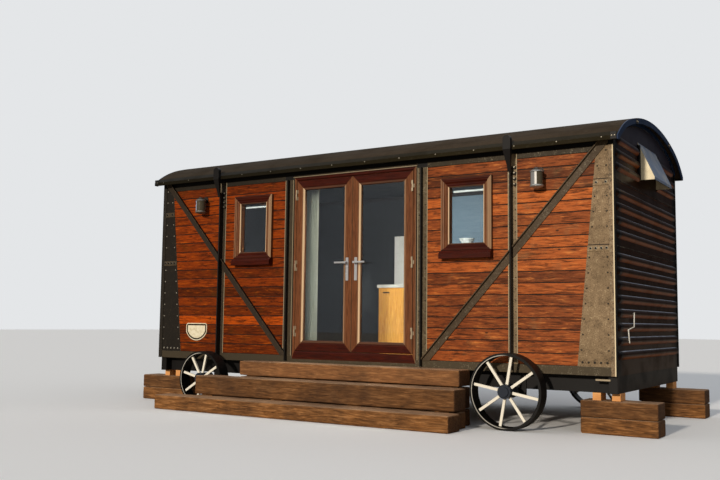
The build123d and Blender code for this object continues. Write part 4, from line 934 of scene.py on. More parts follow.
@dataclass
class Studio:
    """The camera of the photograph, a pale floor, and soft light."""

    location: Place = (4.7975, -8.3059, 0.9268)
    yaw: float = 32.437
    pitch: float = 5.440
    roll: float = 0.688
    lens: float = 43.42
    sensor: float = 36.0
    floor_size: float = 60.0
    to_sun: Place = (0.0, -1.0, 0.30)
    sun_energy: float = 2.7
    sun_angle: float = 3.0
    room_lamp: Place = (0.15, -0.35, 2.45)
    room_way: Place = (0.45, -1.0, 1.1)
    room_energy: float = 42.0
    room_size: float = 0.5

    def build(self) -> None:
        """Sets up the camera, the floor, the sky and the lamps."""
        self._camera()
        self._floor()
        self._world()
        sun = self._lamp("main_light", "SUN", self.sun_energy, (1.0, 0.90, 0.77), self.to_sun)
        sun.angle = math.radians(self.sun_angle)
        room = self._lamp("room_light", "AREA", self.room_energy, (1.0, 0.93, 0.82), self.room_way, self.room_lamp)
        room.shape, room.size = "DISK", self.room_size

    def _camera(self) -> None:
        """Places the scene's camera."""
        yaw, pitch, roll = (math.radians(v) for v in (self.yaw, self.pitch, self.roll))
        ahead = Vector((-math.sin(yaw) * math.cos(pitch), math.cos(yaw) * math.cos(pitch), math.sin(pitch)))
        right = Vector((math.cos(yaw), math.sin(yaw), 0.0))
        up = right.cross(ahead)
        right, up = right * math.cos(roll) + up * math.sin(roll), up * math.cos(roll) - right * math.sin(roll)
        camera = linked("camera", bpy.data.cameras.new("camera"))
        camera.data.lens, camera.data.sensor_width = self.lens, self.sensor
        camera.matrix_world = Matrix.Translation(self.location) @ Matrix((right, up, -ahead)).transposed().to_4x4()
        bpy.context.scene.camera = camera

    def _floor(self) -> None:
        """Lays the pale floor."""
        bm, mesh = bmesh.new(), bpy.data.meshes.new("studio_floor")
        bmesh.ops.create_grid(bm, x_segments=1, y_segments=1, size=self.floor_size)
        bm.to_mesh(mesh)
        bm.free()
        g = Surface("floor_paint", {"Roughness": 0.9})
        seen = g.add("LightPath").outputs["Is Camera Ray"]
        mesh.materials.append(g.dress(g.over(linear((164, 154, 140)), seen, (246, 246, 245))))
        linked("studio_floor", mesh)

    @staticmethod
    def _world() -> None:
        """Makes the pale surroundings, darker where they are mirrored."""
        world = bpy.data.worlds.new("surroundings")
        bpy.context.scene.world = world
        world.use_nodes = True
        g = Graph(world.node_tree)
        height = g.fit(g.split(g.add("TexCoord").outputs["Generated"])[Z], -0.1, 0.9)
        sky = g.ramp(height, [(0.0, (120, 116, 110)), (0.25, (148, 148, 146)), (1.0, (184, 188, 194))])
        mirrored = g.ramp(height, [(0.0, (46, 44, 42)), (0.3, (84, 88, 94)), (1.0, (244, 248, 255))])
        rays = g.add("LightPath").outputs
        seen = g.sum("MAXIMUM", rays["Is Camera Ray"], rays["Is Transmission Ray"])
        colour = g.over(g.mix(rays["Is Glossy Ray"], sky, mirrored), seen, (228, 230, 232))
        g.add("OutputWorld", {0: g.add("Background", {0: colour, 1: 1.0}).outputs[0]})

    @staticmethod
    def _lamp(
        name: str, kind: str, energy: float, colour: Place, way: Place, place: Place = (0, 0, 0)
    ) -> bpy.types.Light:
        """Hangs a lamp.

        Args:
            name: its name.
            kind: its type.
            energy: its power.
            colour: its colour.
            way: the direction to look at it from what it lights.
            place: where it hangs.

        Returns:
            The lamp's data.
        """
        data = bpy.data.lights.new(name, kind)
        data.energy, data.color = energy, colour
        lamp = linked(name, data)
        lamp.location, lamp.rotation_euler = place, Vector(way).to_track_quat("Z", "Y").to_euler()
        return data


@dataclass
class Trade:
    """A group of pieces, set out from the site and dressed with the finishes."""

    finishes: Finishes
    site: Site = SITE


@dataclass
class Planking(Trade):
    """The stained boards of the two side walls."""

    bright: int = 3
    thickness: float = 0.0055
    uneven: float = 0.0006
    gap: float = 0.0084
    edge: float = 0.0022
    outer: float = 2.655
    door_side: float = 0.770
    tones: Span = (3.4, 3.5)
    rng: random.Random = field(default_factory=lambda: random.Random(7))

    def build(self) -> None:
        """Lays the boards of the front and the rear."""
        s = self.site
        for name, run, face, out in (
            ("boards_front_left", (-self.outer, -self.door_side), s.front, -1),
            ("boards_front_right", (self.door_side, self.outer), s.front, -1),
            ("boards_rear", (-self.outer, self.outer), s.rear, 1),
        ):
            piece = Piece(name)
            tone = piece.bm.verts.layers.float.new("tone")
            for index in range(s.courses):
                low = s.plank_foot + index * s.pitch + self.gap / 2
                value = self.rng.betavariate(*self.tones)
                if index == self.bright and run[1] < 0:
                    value = 1.0
                for (x0, x1), (z0, z1) in self._lengths(run, (low, low + s.pitch - self.gap), out):
                    lift = self.thickness + self.rng.uniform(-self.uneven, self.uneven)
                    old = set(piece.bm.verts)
                    piece.block((x0, face, z0), (x1, face + out * lift, z1), self.edge)
                    for vert in set(piece.bm.verts) - old:
                        vert[tone] = value
            piece.done(self.finishes["plank_wood"])

    def _lengths(self, run: Span, rise: Span, out: int) -> list[tuple[Span, Span]]:
        """What is left of a board round a window.

        Args:
            run: the board's low and high x.
            rise: its foot and top.
            out: which way the wall looks, since the rear has no window.

        Returns:
            The span and the rise of each length.
        """
        s, (low, high) = self.site, rise
        if out > 0 or high <= s.window_foot or low >= s.window_top:
            return [(run, rise)]
        centre = math.copysign(s.window_x, sum(run))
        left, right = centre - s.window_half, centre + s.window_half
        lengths = [((run[0], left), rise), ((right, run[1]), rise)]
        if low < s.window_foot:
            lengths.append(((left, right), (low, s.window_foot)))
        if high > s.window_top:
            lengths.append(((left, right), (s.window_top, high)))
        return lengths


@dataclass
class Ironmongery(Trade):
    """Rivets, bolts and nails of the steel frame."""

    board_rivet: Head = Head(0.0065, 0.004)
    reaches: Span = (0.028, 0.034)
    plate_rivet: Head = Head(0.0085, 0.005)
    plate_rise: Span = (0.14, 0.133)
    plate_insets: Span = (0.024, 0.058)
    plate_count: int = 14
    joint_reach: Span = (0.03, 0.08)
    foot_bolt: Head = Head(0.011, 0.007)
    foot_count: int = 5
    foot_inset: float = 0.072
    foot_pitch: float = 0.054
    foot_rise: float = 0.035
    strip_washer: Head = Head(0.014, 0.003, 12, 0.9)
    strip_nut: Head = Head(0.0105, 0.010, 6, 0.8)
    strip_bolts: tuple[int, int] = (4, 2)
    strip_insets: Span = (0.028, 0.062)
    strip_lifts: Span = (0.006, 0.009)
    lug_bolt: Head = Head(0.009, 0.010, 6, 0.8)
    lug_nut: Head = Head(0.017, 0.012, 6, 0.9)
    lug_tip: Head = Head(0.010, 0.010, 8, 0.7)
    lug_foot: float = 2.204
    lug_pitch: float = 0.052
    lug_count: int = 4
    lug_steps: Place = (-0.028, 0.026, 0.024)
    lug_lifts: Span = (0.012, 0.004)
    seam_rivet: Head = Head(0.007, 0.004, 6)
    seams: Span = (1.612, 2.195)
    seam_count: int = 52
    seam_inset: float = 0.07
    seam_lift: float = 0.004
    nail: Head = Head(0.007, 0.003)
    nail_count: int = 14
    nail_start: float = -2.6
    nail_pitch: float = 0.4
    nail_height: float = 2.541
    eave: float = 1.2465

    def build(self) -> None:
        """Sets every rivet, bolt and nail."""
        for step in (self._flange_rivets, self._gusset_rivets, self._bolts, self._end_rivets, self._nails):
            step()

    def _flange_rivets(self) -> None:
        """Sets a rivet in each board on both sides of every post's stem."""
        piece, s = Piece("flange_rivets"), self.site
        narrow, wide = self.reaches
        for y, out in s.faces:
            for x, reach in ((-s.stanchion_x, narrow), (-s.post_x, wide), (s.post_x, wide), (s.stanchion_x, narrow)):
                for index in range(s.courses):
                    z = s.plank_foot + (index + 0.5) * s.pitch
                    for side in (-1, 1):
                        piece.stud((x + side * reach, y, z), (0, out, 0), self.board_rivet)
        piece.done(self.finishes["dark_rivet"])

    def _gusset_rivets(self) -> None:
        """Sets the rivets along both edges and the foot of the corner plates."""
        piece, s = Piece("gusset_rivets"), self.site
        (first, pitch), (inner, outer), (below, above) = self.plate_rise, self.plate_insets, self.joint_reach
        for y, out in s.faces:
            for side in (-1, 1):
                for index in range(self.plate_count):
                    z = s.plank_foot + first + index * pitch
                    if not any(foot - below < z < foot + above for foot in s.joint_feet):
                        for x in (s.gusset_edge(z) + inner, s.half_length - outer):
                            piece.stud((side * x, y, z), (0, out, 0), self.plate_rivet)
                for index in range(self.foot_count):
                    x = side * (s.half_length - self.foot_inset - index * self.foot_pitch)
                    piece.stud((x, y, s.plank_foot + self.foot_rise), (0, out, 0), self.foot_bolt)
        piece.done(self.finishes["plate_rivet"])

    def _bolts(self) -> None:
        """Sets the bolts of the joint strips and the eave brackets, with pale washers and bolt ends round the dark nuts
        as painted highlights.
        """
        bright, dark, s = Piece("frame_bolt_highlights"), Piece("frame_nuts"), self.site
        (washer, nut), (bolt_x, nut_x, tip_x), (lift, rise) = self.strip_lifts, self.lug_steps, self.lug_lifts
        for y, out in s.faces:
            axis = (0, out, 0)
            for side in (-1, 1):
                for foot, count in zip(s.joint_feet, self.strip_bolts):
                    z = foot + s.joint_middle
                    inner, outer = s.gusset_edge(z) + self.strip_insets[0], s.half_length - self.strip_insets[1]
                    for index in range(count):
                        x = side * (inner + (outer - inner) * index / (count - 1))
                        bright.stud((x, y + out * washer, z), axis, self.strip_washer)
                        dark.stud((x, y + out * nut, z), axis, self.strip_nut)
                for index in range(self.lug_count):
                    x, z = side * s.stanchion_x, self.lug_foot + index * self.lug_pitch
                    bright.stud((x + bolt_x, y, z), axis, self.lug_bolt)
                    dark.stud((x + nut_x, y, z), axis, self.lug_nut)
                    bright.stud((x + tip_x, y + out * lift, z + rise), axis, self.lug_tip)
        bright.done(self.finishes["bright_bolt"])
        dark.done(self.finishes["black_steel"])

    def _end_rivets(self) -> None:
        """Sets the rivet rows of the end sheets' seams."""
        piece, s = Piece("seam_rivets"), self.site
        width = s.rear - s.front - 2 * self.seam_inset
        for side in (-1, 1):
            for level in self.seams:
                for index in range(self.seam_count):
                    y = s.front + self.seam_inset + index * width / (self.seam_count - 1)
                    piece.stud((side * (s.sheet_face + self.seam_lift), y, level), (side, 0, 0), self.seam_rivet)
        piece.done(self.finishes["dark_rivet"])

    def _nails(self) -> None:
        """Sets the bright nail heads along the eaves."""
        piece = Piece("fascia_nails")
        for out in (-1, 1):
            for index in range(self.nail_count):
                x = self.nail_start + index * self.nail_pitch
                piece.stud((x, self.site.middle + out * self.eave, self.nail_height), (0, out, 0), self.nail)
        piece.done(self.finishes["bright_bolt"])


@dataclass
class Eaves(Trade):
    """Flashing along the roof's edges, its end brackets, the verges' joints and the arches' rivets."""

    half: float = 2.732
    edge: float = 1.2465
    bracket_inner: float = 2.676
    bracket_rise: Span = (2.513, 2.578)
    bracket_depth: float = 0.006
    bracket_bolts: Span = (2.690, 2.716)
    bracket_bolt: Head = Head(0.0075, 0.005)
    bracket_bolt_height: float = 2.545
    verge: float = 2.742
    lap_places: Span = (-0.62, 0.62)
    lap_half: float = 0.035
    lap_drop: Span = (0.055, 0.009)
    lap_thickness: float = 0.004
    lap_bolts: Span = (-0.018, 0.018)
    lap_bolt: Head = Head(0.006, 0.004)
    lap_bolt_drop: float = 0.031
    arch_drops: Span = (0.069, 0.03)
    arch_rivet: Head = Head(0.007, 0.004, 6)
    arch_face: float = 2.681
    arch_start: float = -1.078
    arch_pitch: float = 0.049
    hood_frame: float = 0.03
    hood_face: float = 2.698
    section: tuple[Span, ...] = ((1.244, 2.513), (1.244, 2.5482), (1.2222, 2.5662), (1.1888, 2.5920))
    arch: tuple[Span, ...] = (
        (0.0, 2.8848), (0.213, 2.8771), (0.425, 2.8543), (0.638, 2.8157), (0.850, 2.7610), (0.930, 2.7338),
        (1.045, 2.6815), (1.119, 2.6395),
    )
    arch_rivets: int = 45
    drip: tuple[Span, Span] = ((0.752, 0.022), (2.4632, 2.4702))

    def build(self) -> None:
        """Builds the eaves."""
        for step in (
            self._flashing, self._brackets, self._verge_joints, self._arch_rivets, self._hood_flanges, self._drip,
        ):
            step()

    def _flashing(self) -> None:
        """Bends a thin sheet over each eave."""
        piece, s = Piece("eaves_flashing"), self.site
        bm = piece.bm
        for out in (-1, 1):
            line = [bm.verts.new((-self.half, s.middle + out * (y + 0.0004), z)) for y, z in self.section]
            edges = [bm.edges.new(pair) for pair in zip(line, line[1:])]
            made = bmesh.ops.extrude_edge_only(bm, edges=edges)["geom"]
            verts = [item for item in made if isinstance(item, bmesh.types.BMVert)]
            bmesh.ops.translate(bm, verts=verts, vec=(self.half * 2, 0, 0))
            faces = [face for face in made if isinstance(face, bmesh.types.BMFace)]
            bmesh.ops.recalc_face_normals(bm, faces=faces)
            if faces[0].normal.y * out < 0:
                bmesh.ops.reverse_faces(bm, faces=faces)
            bmesh.ops.solidify(bm, geom=faces, thickness=-0.002)
        piece.done(self.finishes["fascia_paint"])

    def _brackets(self) -> None:
        """Bolts a black bracket to each end of the eaves."""
        piece, bolts, middle = Piece("eaves_brackets"), Piece("eaves_bolts"), self.site.middle
        foot, top = self.bracket_rise
        for out in (-1, 1):
            back, face = middle + out * self.edge, middle + out * (self.edge + self.bracket_depth)
            for side in (-1, 1):
                piece.block((side * self.bracket_inner, back, foot), (side * self.half, face, top), 0.002)
                for x in self.bracket_bolts:
                    bolts.stud((side * x, face, self.bracket_bolt_height), (0, out, 0), self.bracket_bolt)
        piece.done(self.finishes["black_steel"])
        bolts.done(self.finishes["bright_bolt"])

    def _height(self, y: float) -> float:
        """The roof's height.

        Args:
            y: how far from the middle it is taken.

        Returns:
            The outline's height there.
        """
        for (y0, z0), (y1, z1) in zip(self.arch, self.arch[1:]):
            if abs(y) <= y1:
                return z0 + (z1 - z0) * (abs(y) - y0) / (y1 - y0)
        return self.arch[-1][1]

    def _verge_joints(self) -> None:
        """Laps the verge bands with short plates."""
        piece, bolts, half = Piece("verge_joints"), Piece("verge_bolts"), self.lap_half
        foot, head = self.lap_drop
        for side in (-1, 1):
            near, far = side * self.verge, side * (self.verge + self.lap_thickness)
            for y in self.lap_places:
                top, middle = self._height(y), self.site.middle + y
                piece.block((near, middle - half, top - foot), (far, middle + half, top - head), 0.001)
                for step in self.lap_bolts:
                    bolts.stud((far, middle + step, top - self.lap_bolt_drop), (side, 0, 0), self.lap_bolt)
        piece.done(self.finishes["black_steel"])
        bolts.done(self.finishes["bright_bolt"])

    def _arch_rivets(self) -> None:
        """Sets a row of rivets under each arch."""
        piece, (drop, lean) = Piece("arch_rivets"), self.arch_drops
        for side in (-1, 1):
            for index in range(self.arch_rivets):
                y = self.arch_start + index * self.arch_pitch
                slope = (self._height(y + 0.01) - self._height(y - 0.01)) / 0.02
                z = self._height(y) - drop - lean * abs(slope)
                piece.stud((side * self.arch_face, self.site.middle + y, z), (side, 0, 0), self.arch_rivet)
        piece.done(self.finishes["dark_rivet"])

    def _hood_flanges(self) -> None:
        """Frames the ventilator hoods' sides where they meet the ribs."""
        low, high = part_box("vent_hoods")
        piece, width = Piece("hood_flanges"), self.hood_frame
        for side in (-1, 1):
            for edge, out in ((low.y, -1), (high.y, 1)):
                corner = (side * self.hood_face, edge + out * width, high.z - width)
                piece.block((side * self.site.sheet_face, edge, low.z), corner, 0.004)
        piece.done(self.finishes["black_steel"])

    def _drip(self) -> None:
        """Lays a thin pale strip over the door's head."""
        piece, front = Piece("door_drip"), self.site.front
        (half, reach), (foot, top) = self.drip
        piece.block((-half, front - reach, foot), (half, front, top), 0.001)
        piece.done(self.finishes["hinge_metal"])


@dataclass
class Joinery(Trade):
    """The mitred door frame, door leaves and windows, with their beads."""

    member: float = 0.032
    threshold: float = 0.084
    stile: float = 0.100
    bottom_rail: float = 0.108
    top_rail: float = 0.102
    casing: Place = (0.049, 0.033, 0.055)
    sash: float = 0.036
    blind_half: float = 0.17
    blind_rise: Span = (2.180, 2.200)
    blind_reach: Span = (0.05, 0.07)
    layers: tuple[str, str] = ("upright", "bead_highlight")

    def build(self) -> None:
        """Builds every mitred piece."""
        self._door_frame()
        for name in ("left", "right"):
            self._leaf(name)
        self._windows()
        self._blinds()

    def _door_frame(self) -> None:
        """Builds the jambs, head and threshold in place of the plain frame."""
        low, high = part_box("door_frame")
        piece, m = Piece("door_frame_mitred", self.layers), self.member
        profile = [
            (0.0, low.y + 0.005), (0.005, low.y), (m - 0.006, low.y), (m, low.y + 0.006), (m, high.y), (0.0, high.y),
        ]
        shares = (1.0, self.threshold / m, 1.0)
        piece.moulding((low.x, high.x), (low.z, high.z), profile, shares, {0: (0.25, 0.25)})
        piece.done(self.finishes["joinery_foil"], node="door_frame", slot="joinery")

    def _leaf(self, name: str) -> None:
        """Builds one door leaf in place of the plain one.

        Args:
            name: the side's name.
        """
        low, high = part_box(f"door_leaf_{name}")
        face, back, w = low.y, high.y, self.stile
        profile = [
            (0.0, face + 0.004), (0.004, face), (w - 0.034, face), (w - 0.030, face + 0.004), (w - 0.025, face + 0.004),
            (w - 0.022, face + 0.001), (w - 0.004, face + 0.003), (w, face + 0.010), (w, back), (0.0, back),
        ]
        # painted highlights on the beads, stronger on the left stile
        beads = {0: (0.3, 0.1), 2: (0.2, 0.2), 5: (0.95, 0.25), 6: (0.7, 0.15)}
        piece = Piece(f"door_leaf_{name}_mitred", self.layers)
        shares = (1.0, self.bottom_rail / w, self.top_rail / w)
        piece.moulding((low.x, high.x), (low.z, high.z), profile, shares, beads)
        piece.done(self.finishes["joinery_foil"], f"door_{name}", node=f"door_leaf_{name}", slot="joinery")

    def _windows(self) -> None:
        """Builds the two windows' casings and sashes in place of the plain ones."""
        low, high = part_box("window_frames")
        s, piece = self.site, Piece("window_frames_mitred", self.layers)
        face, back, w = low.y, high.y, self.sash
        side, foot, head = self.casing
        casing = [
            (0.0, face + 0.008), (0.007, face), (0.020, face), (0.024, face + 0.004), (0.034, face + 0.006),
            (side - 0.005, face + 0.014), (side, face + 0.016), (side, back), (0.0, back),
        ]
        sash = [
            (0.0, face + 0.018), (0.004, face + 0.014), (0.014, face + 0.014), (0.018, face + 0.019),
            (w - 0.014, face + 0.019), (w - 0.011, face + 0.016), (w - 0.002, face + 0.018), (w, face + 0.026),
            (w, back), (0.0, back),
        ]
        for way in (-1, 1):
            x0, x1 = way * s.window_x - s.window_half, way * s.window_x + s.window_half
            # the dictionaries give the painted highlights on the beads of the left and the right members
            piece.moulding((x0, x1), (s.window_foot, s.window_top), casing, (1.0, foot / side, head / side), {
                0: (0.5, 0.5), 1: (0.12, 0.3), 3: (0.1, 0.45), 4: (0.0, 0.3),
            })
            piece.moulding(
                (x0 + side, x1 - side), (s.window_foot + foot, s.window_top - head), sash, (1.0, 1.0, 1.0),
                {0: (0.2, 0.3), 5: (0.95, 0.9), 6: (0.6, 0.6)},
            )
        piece.done(self.finishes["joinery_foil"], node="window_frames", slot="joinery")

    def _blinds(self) -> None:
        """Hangs the rolled white blinds inside the windows."""
        piece, s, half = Piece("window_blinds"), self.site, self.blind_half
        (foot, top), (near, far) = self.blind_rise, self.blind_reach
        for centre in (-s.window_x, s.window_x):
            piece.block((centre - half, s.front + near, foot), (centre + half, s.front + far, top), 0.003)
        piece.done(self.finishes["white_metal"])


@dataclass
class Timber(Trade):
    """Weathered sleepers of the steps and the bearers."""

    seed: int = 21
    slices: float = 0.05
    worn: float = 0.004
    chipped: float = 0.012
    rows: tuple[Span, ...] = ((-1.2495, 1.3205), (-1.6495, 1.3905), (-1.9995, 1.4505))
    row_front: Place = (-0.90535, -1.14565, -1.38595)
    courses: tuple = (("step_bottom", 0.0, 0.148, 3), ("step_middle", 0.158, 0.351, 2), ("step_top", 0.360, 0.510, 1))
    width: float = 0.240
    bearer: float = 0.660
    bearer_width: float = 0.25
    course_gap: float = 0.001
    edge: float = 0.012
    worn_scale: float = 7.0
    chip_scale: float = 3.1
    chip_least: float = 0.25

    def build(self) -> None:
        """Rebuilds the plain sleepers with worn edges."""
        for name, z0, z1, count in self.courses:
            piece = Piece(f"{name}_worn")
            for (x0, x1), near in list(zip(self.rows, self.row_front))[:count]:
                self._sleeper(piece, Vector((x0, near - self.width, z0)), Vector((x1, near, z1)))
            piece.done(self.finishes["sleeper_wood"], node=name, slot="sleeper")
        self._bearers()

    def _bearers(self) -> None:
        """Lays two worn courses of short sleepers under each corner."""
        low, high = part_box("bearers")
        piece, middle = Piece("bearers_worn"), (low.z + high.z) / 2
        for z0, z1 in ((low.z, middle - self.course_gap), (middle + self.course_gap, high.z)):
            for x0 in (low.x, high.x - self.bearer):
                for y0 in (low.y, high.y - self.bearer_width):
                    corner = Vector((x0 + self.bearer, y0 + self.bearer_width, z1))
                    self._sleeper(piece, Vector((x0, y0, z0)), corner)
        piece.done(self.finishes["sleeper_wood"], node="bearers", slot="sleeper")

    def _sleeper(self, piece: Piece, low: Vector, high: Vector) -> None:
        """Adds one worn sleeper.

        Args:
            piece: where it is added.
            low: its lowest corner.
            high: its highest corner.
        """
        plain, middle = Piece("sleeper"), (low + high) / 2
        bm = plain.bm
        plain.block(low, high, self.edge, 2)
        steps = int((high.x - low.x) / self.slices)
        for index in range(1, steps):
            cut = low.x + index * (high.x - low.x) / steps
            geometry = bm.verts[:] + bm.edges[:] + bm.faces[:]
            bmesh.ops.bisect_plane(bm, geom=geometry, plane_co=(cut, 0, 0), plane_no=(1, 0, 0))
        for vert in bm.verts:
            inward = Vector((0.0, middle.y - vert.co.y, middle.z - vert.co.z)).normalized()
            worn = noise.noise(vert.co * self.worn_scale + Vector((0, 0, self.seed))) * 0.5 + 0.5
            chip = max(0.0, noise.noise(vert.co * self.chip_scale) - self.chip_least)
            vert.co += inward * (self.worn * worn + self.chipped * chip)
        mesh = bpy.data.meshes.new("sleeper")
        bm.to_mesh(mesh)
        bm.free()
        piece.bm.from_mesh(mesh)
        bpy.data.meshes.remove(mesh)


@dataclass
class Inside(Trade):
    """What shows through the glass: lining, kitchen fronts and the curtain."""

    clear: float = 0.0005
    lining: float = 0.006
    lining_top: float = 2.50
    end_gap: float = 0.06
    rear_gap: float = 0.07
    ceiling: Span = (2.545, 2.553)
    ceiling_inset: float = 0.01
    panel_gap: float = 0.076
    worktop: float = 1.392
    panel: Span = (-0.768, -0.40)
    panel_top: float = 2.03
    splash: Span = (-0.30, 1.10)
    splash_top: float = 2.49
    board_rise: Span = (1.668, 1.690)
    board_half: float = 0.24
    board_reach: float = 0.19
    dish: Place = (0.045, 0.075, 0.05)
    dish_place: Place = (-0.06, 0.125, 1.7152)
    dish_rim: Span = (0.008, 0.02)
    front_count: int = 2
    front_pitch: float = 0.6
    front_width: float = 0.592
    front_depth: float = 0.018
    front_gaps: Place = (0.004, 0.1, 0.006)
    pull_run: Span = (0.06, 0.15)
    pull_drops: Span = (0.065, 0.052)
    pull_reach: float = 0.03
    folds: int = 9

    def build(self) -> None:
        """Builds the inside."""
        for step in (self._lining, self._walls, self._window_boards, self._kitchen, self._curtain):
            step()

    def _lining(self) -> None:
        """Lines the rear wall, both ends and the ceiling, in a near-black colour that is painted shade."""
        piece, s = Piece("wall_lining"), self.site
        inner, front, wall = s.half_length - self.end_gap, s.front + s.wall, s.rear - self.rear_gap
        near, back, inset = wall - self.lining, wall - self.clear, self.ceiling_inset
        piece.block((-inner, near, s.floor_top), (inner, back, self.lining_top))
        for side in (-1, 1):
            corner = (side * (inner - self.clear), near, self.lining_top)
            piece.block((side * (inner - self.lining), front, s.floor_top), corner)
        low, high = self.ceiling
        piece.block((-inner + inset, front, low), (inner - inset, back, high))
        piece.done(self.finishes["lining_painted_shade"])

    def _walls(self) -> None:
        """Hangs a white panel beside the kitchen, which paints a patch of sunlight on the rear wall, and the kitchen's
        own wall behind it, whose slate blue is a painted reflection of the sky.
        """
        face = self.site.rear - self.panel_gap
        for name, (x0, x1), top, depth, finish in (
            # a white panel where a patch of sunlight falls: painted light
            ("wall_panel_sun_patch", self.panel, self.panel_top, 0.02, "white_metal"),
            ("kitchen_wall", self.splash, self.splash_top, 0.01, "kitchen_wall_sky_reflection"),
        ):
            piece = Piece(name)
            piece.block((x0, face - depth, self.worktop), (x1, face, top), 0.003)
            piece.done(self.finishes[finish])

    def _window_boards(self) -> None:
        """Puts a white board inside each window, with a low dish on the right one."""
        piece, s, half = Piece("window_boards"), self.site, self.board_half
        (low, high), far = self.board_rise, s.front + self.board_reach
        for centre in (-s.window_x, s.window_x):
            piece.block((centre - half, s.front + s.wall, low), (centre + half, far, high), 0.004)
        (foot, mouth, depth), (x, y, z), (rim, hollow) = self.dish, self.dish_place, self.dish_rim
        dish = bmesh.ops.create_cone(
            piece.bm, cap_ends=True, segments=20, radius1=foot, radius2=mouth, depth=depth,
            matrix=Matrix.Translation((s.window_x + x, s.front + y, z)),
        )["verts"]
        top = [face for face in {f for v in dish for f in v.link_faces} if face.normal.z > 0.9]
        bmesh.ops.inset_region(piece.bm, faces=top, thickness=rim, depth=-hollow)
        piece.done(self.finishes["white_metal"])

    def _kitchen(self) -> None:
        """Puts door fronts and small pulls on the kitchen unit."""
        low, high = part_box("kitchen_unit")
        fronts, pulls = Piece("kitchen_fronts"), Piece("kitchen_pulls")
        (side, foot, head), (start, end), (bottom, top) = self.front_gaps, self.pull_run, self.pull_drops
        for index in range(self.front_count):
            x, face = low.x + side + index * self.front_pitch, low.y - self.front_depth
            corner = (x + self.front_width, low.y - self.clear, high.z - head)
            fronts.block((x, face, low.z + foot), corner, 0.0015)
            corner = (x + end, face, high.z - top)
            pulls.block((x + start, low.y - self.pull_reach, high.z - bottom), corner, 0.002)
        fronts.done(self.finishes["oak_wood"])
        pulls.done(self.finishes["black_steel"])

    def _curtain(self) -> None:
        """Hangs the gathered curtain in place of its plain solid."""
        low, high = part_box("curtain")
        size, middle, piece = high - low, (low + high) / 2, Piece("curtain_gathered")
        stood = Matrix.Diagonal((size.x, 1.0, size.z, 1.0)) @ Matrix.Rotation(math.pi / 2, 4, "X")
        place = Matrix.Translation(middle) @ stood
        bmesh.ops.create_grid(piece.bm, x_segments=120, y_segments=24, size=0.5, matrix=place)
        for vert in piece.bm.verts:
            share, drop = (vert.co.x - low.x) / size.x, (high.z - vert.co.z) / size.z
            depth = size.y / 2 * (0.86 - 0.1 * math.sin(drop * 3.0))
            vert.co.y += depth * 0.98 * math.sin(share * 2 * self.folds * math.pi)
        area = sum(face.calc_area() for face in piece.bm.faces)
        made = piece.done(self.finishes["curtain_cloth"], smooth=True, node="curtain", slot="curtain_cloth")
        LOG.info("curtain area %.4f, width %.4f, height %.4f", area, area / size.z, size.z)


@dataclass
class Extras(Trade):
    """Small pieces: the cranked rod on the right end, the bar under the frame and the lamps' bulbs."""

    rod: tuple[Place, ...] = (
        (2.697, -0.42, 1.045), (2.701, -0.445, 0.918), (2.703, -0.64, 0.893), (2.697, -0.584, 0.778),
    )
    rod_radius: float = 0.006
    bar: tuple[Place, Place] = ((2.484, -0.886, 0.456), (2.612, -0.867, 0.472))
    lamp: Span = (2.0095, -0.98905)
    bulb: tuple[Span, ...] = (
        (0.0, 2.176), (0.018, 2.186), (0.026, 2.206), (0.022, 2.236), (0.014, 2.284), (0.0, 2.286),
    )

    def build(self) -> None:
        """Builds the extras."""
        curve = bpy.data.curves.new("end_rod", "CURVE")
        curve.dimensions, curve.bevel_depth, curve.bevel_resolution = "3D", self.rod_radius, 2
        line = curve.splines.new("POLY")
        line.points.add(len(self.rod) - 1)
        for point, place in zip(line.points, self.rod):
            point.co = (*place, 1.0)
        curve.materials.append(self.finishes["white_metal"])
        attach(linked("end_rod", curve), "cabin")
        LOG.info("end_rod: %d points on cabin", len(self.rod))
        piece = Piece("underframe_bar")
        piece.block(*self.bar, 0.002)
        piece.done(self.finishes["hinge_metal"])
        self._bulbs()

    def _bulbs(self) -> None:
        """Puts a white bulb in each lamp."""
        piece, (lamp_x, y) = Piece("lamp_bulbs"), self.lamp
        bm = piece.bm
        for x in (-lamp_x, lamp_x):
            line = [bm.verts.new((x + r, y, z)) for r, z in self.bulb]
            edges = [bm.edges.new(pair) for pair in zip(line, line[1:])]
            bmesh.ops.spin(
                bm, geom=line + edges, cent=(x, y, 0.0), axis=UP, angle=2 * math.pi, steps=16, use_merge=True,
            )
        bmesh.ops.remove_doubles(bm, verts=bm.verts[:], dist=MERGE)
        piece.done(self.finishes["white_metal"], smooth=True)


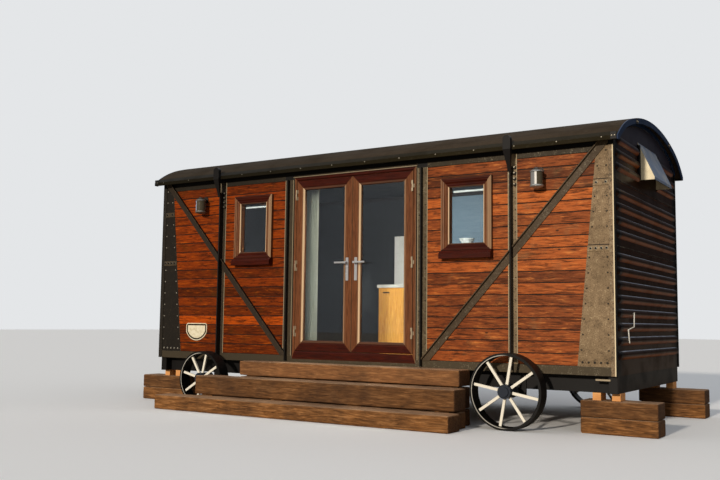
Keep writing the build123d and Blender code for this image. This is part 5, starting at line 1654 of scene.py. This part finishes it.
class Coats(Enum):
    """The material of each CAD node."""

    WALLS = ("wall_behind", ("front_wall_left", "front_wall_right", "front_wall_over_door", "rear_wall"))
    FLOOR = ("floor_wood", ("floor", "end_walls"))
    ENDS = ("end_paint", ("end_sheets",))
    HOODS = ("hood_zinc", ("vent_hoods",))
    ROOF = ("roof_felt", ("roof",))
    FASCIAS = ("fascia_paint", ("fascias",))
    TRIMS = ("trim_sky_reflection", ("arch_trims",))
    STANCHIONS = ("flange_steel", ("stanchions",))
    POSTS = ("post_steel", ("door_posts",))
    GUSSETS = ("gusset_steel", ("corner_plates",))
    CORNERS = ("corner_steel", ("corner_angles",))
    BRACES = ("brace_steel", ("braces",))
    RAILS = ("rail_steel", ("wall_rails",))
    BLACK = ("black_steel", ("roof_straps", "solebars", "headstocks", "stub_axles", "curtain_rail"))
    FOIL = ("joinery_foil", ("window_sills",))
    FITTINGS = ("chrome", (
        "door_handle_plate_left", "door_handle_plate_right", "door_lever_left", "door_lever_right",
    ))
    HINGES = ("hinge_metal", ("door_hinge_jambs", "door_hinges_left", "door_hinges_right"))
    PANES = ("pane_glass", ("window_panes", "door_pane_left", "door_pane_right"))
    LAMPS = ("lamp_steel", ("lamps",))
    LAMP_GLASS = ("lamp_glass", ("lamp_glasses",))
    PLATE = ("enamel", ("number_plate",))
    SLEEPERS = ("sleeper_wood", ("bearers", "step_packers", "step_bottom", "step_middle", "step_top"))
    BLOCKS = ("fresh_wood", ("packing_blocks",))
    OAK = ("oak_wood", ("kitchen_unit",))
    WORKTOP = ("worktop_stone", ("worktop",))
    LEFT_WHEELS = ("wheel_left_iron", ("wheels_left",))
    RIGHT_WHEELS = ("wheel_right_iron", ("wheels_right",))


def coat_nodes(nodes: dict[str, bpy.types.Object], finishes: Finishes) -> None:
    """Gives every CAD node its material.

    Args:
        nodes: the CAD nodes by name.
        finishes: the cabin's materials.
    """
    for coat in Coats:
        name, members = coat.value
        for member in members:
            for slot in nodes[member].material_slots:
                slot.material = finishes[name]
    LOG.info("%d nodes coated", sum(len(coat.value[1]) for coat in Coats))


def main() -> None:
    """Builds the view, the materials and every visual piece."""
    logging.basicConfig(level=logging.INFO, format="%(message)s")
    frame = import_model()
    bpy.context.scene.view_settings.view_transform = "Standard"
    Studio().build()
    finishes = Finishes()
    coat_nodes(frame["nodes"], finishes)
    for trade in (Planking, Ironmongery, Eaves, Joinery, Timber, Inside, Extras):
        trade(finishes).build()
        LOG.info("%s done", trade.__name__)


if __name__ == "__main__":
    main()
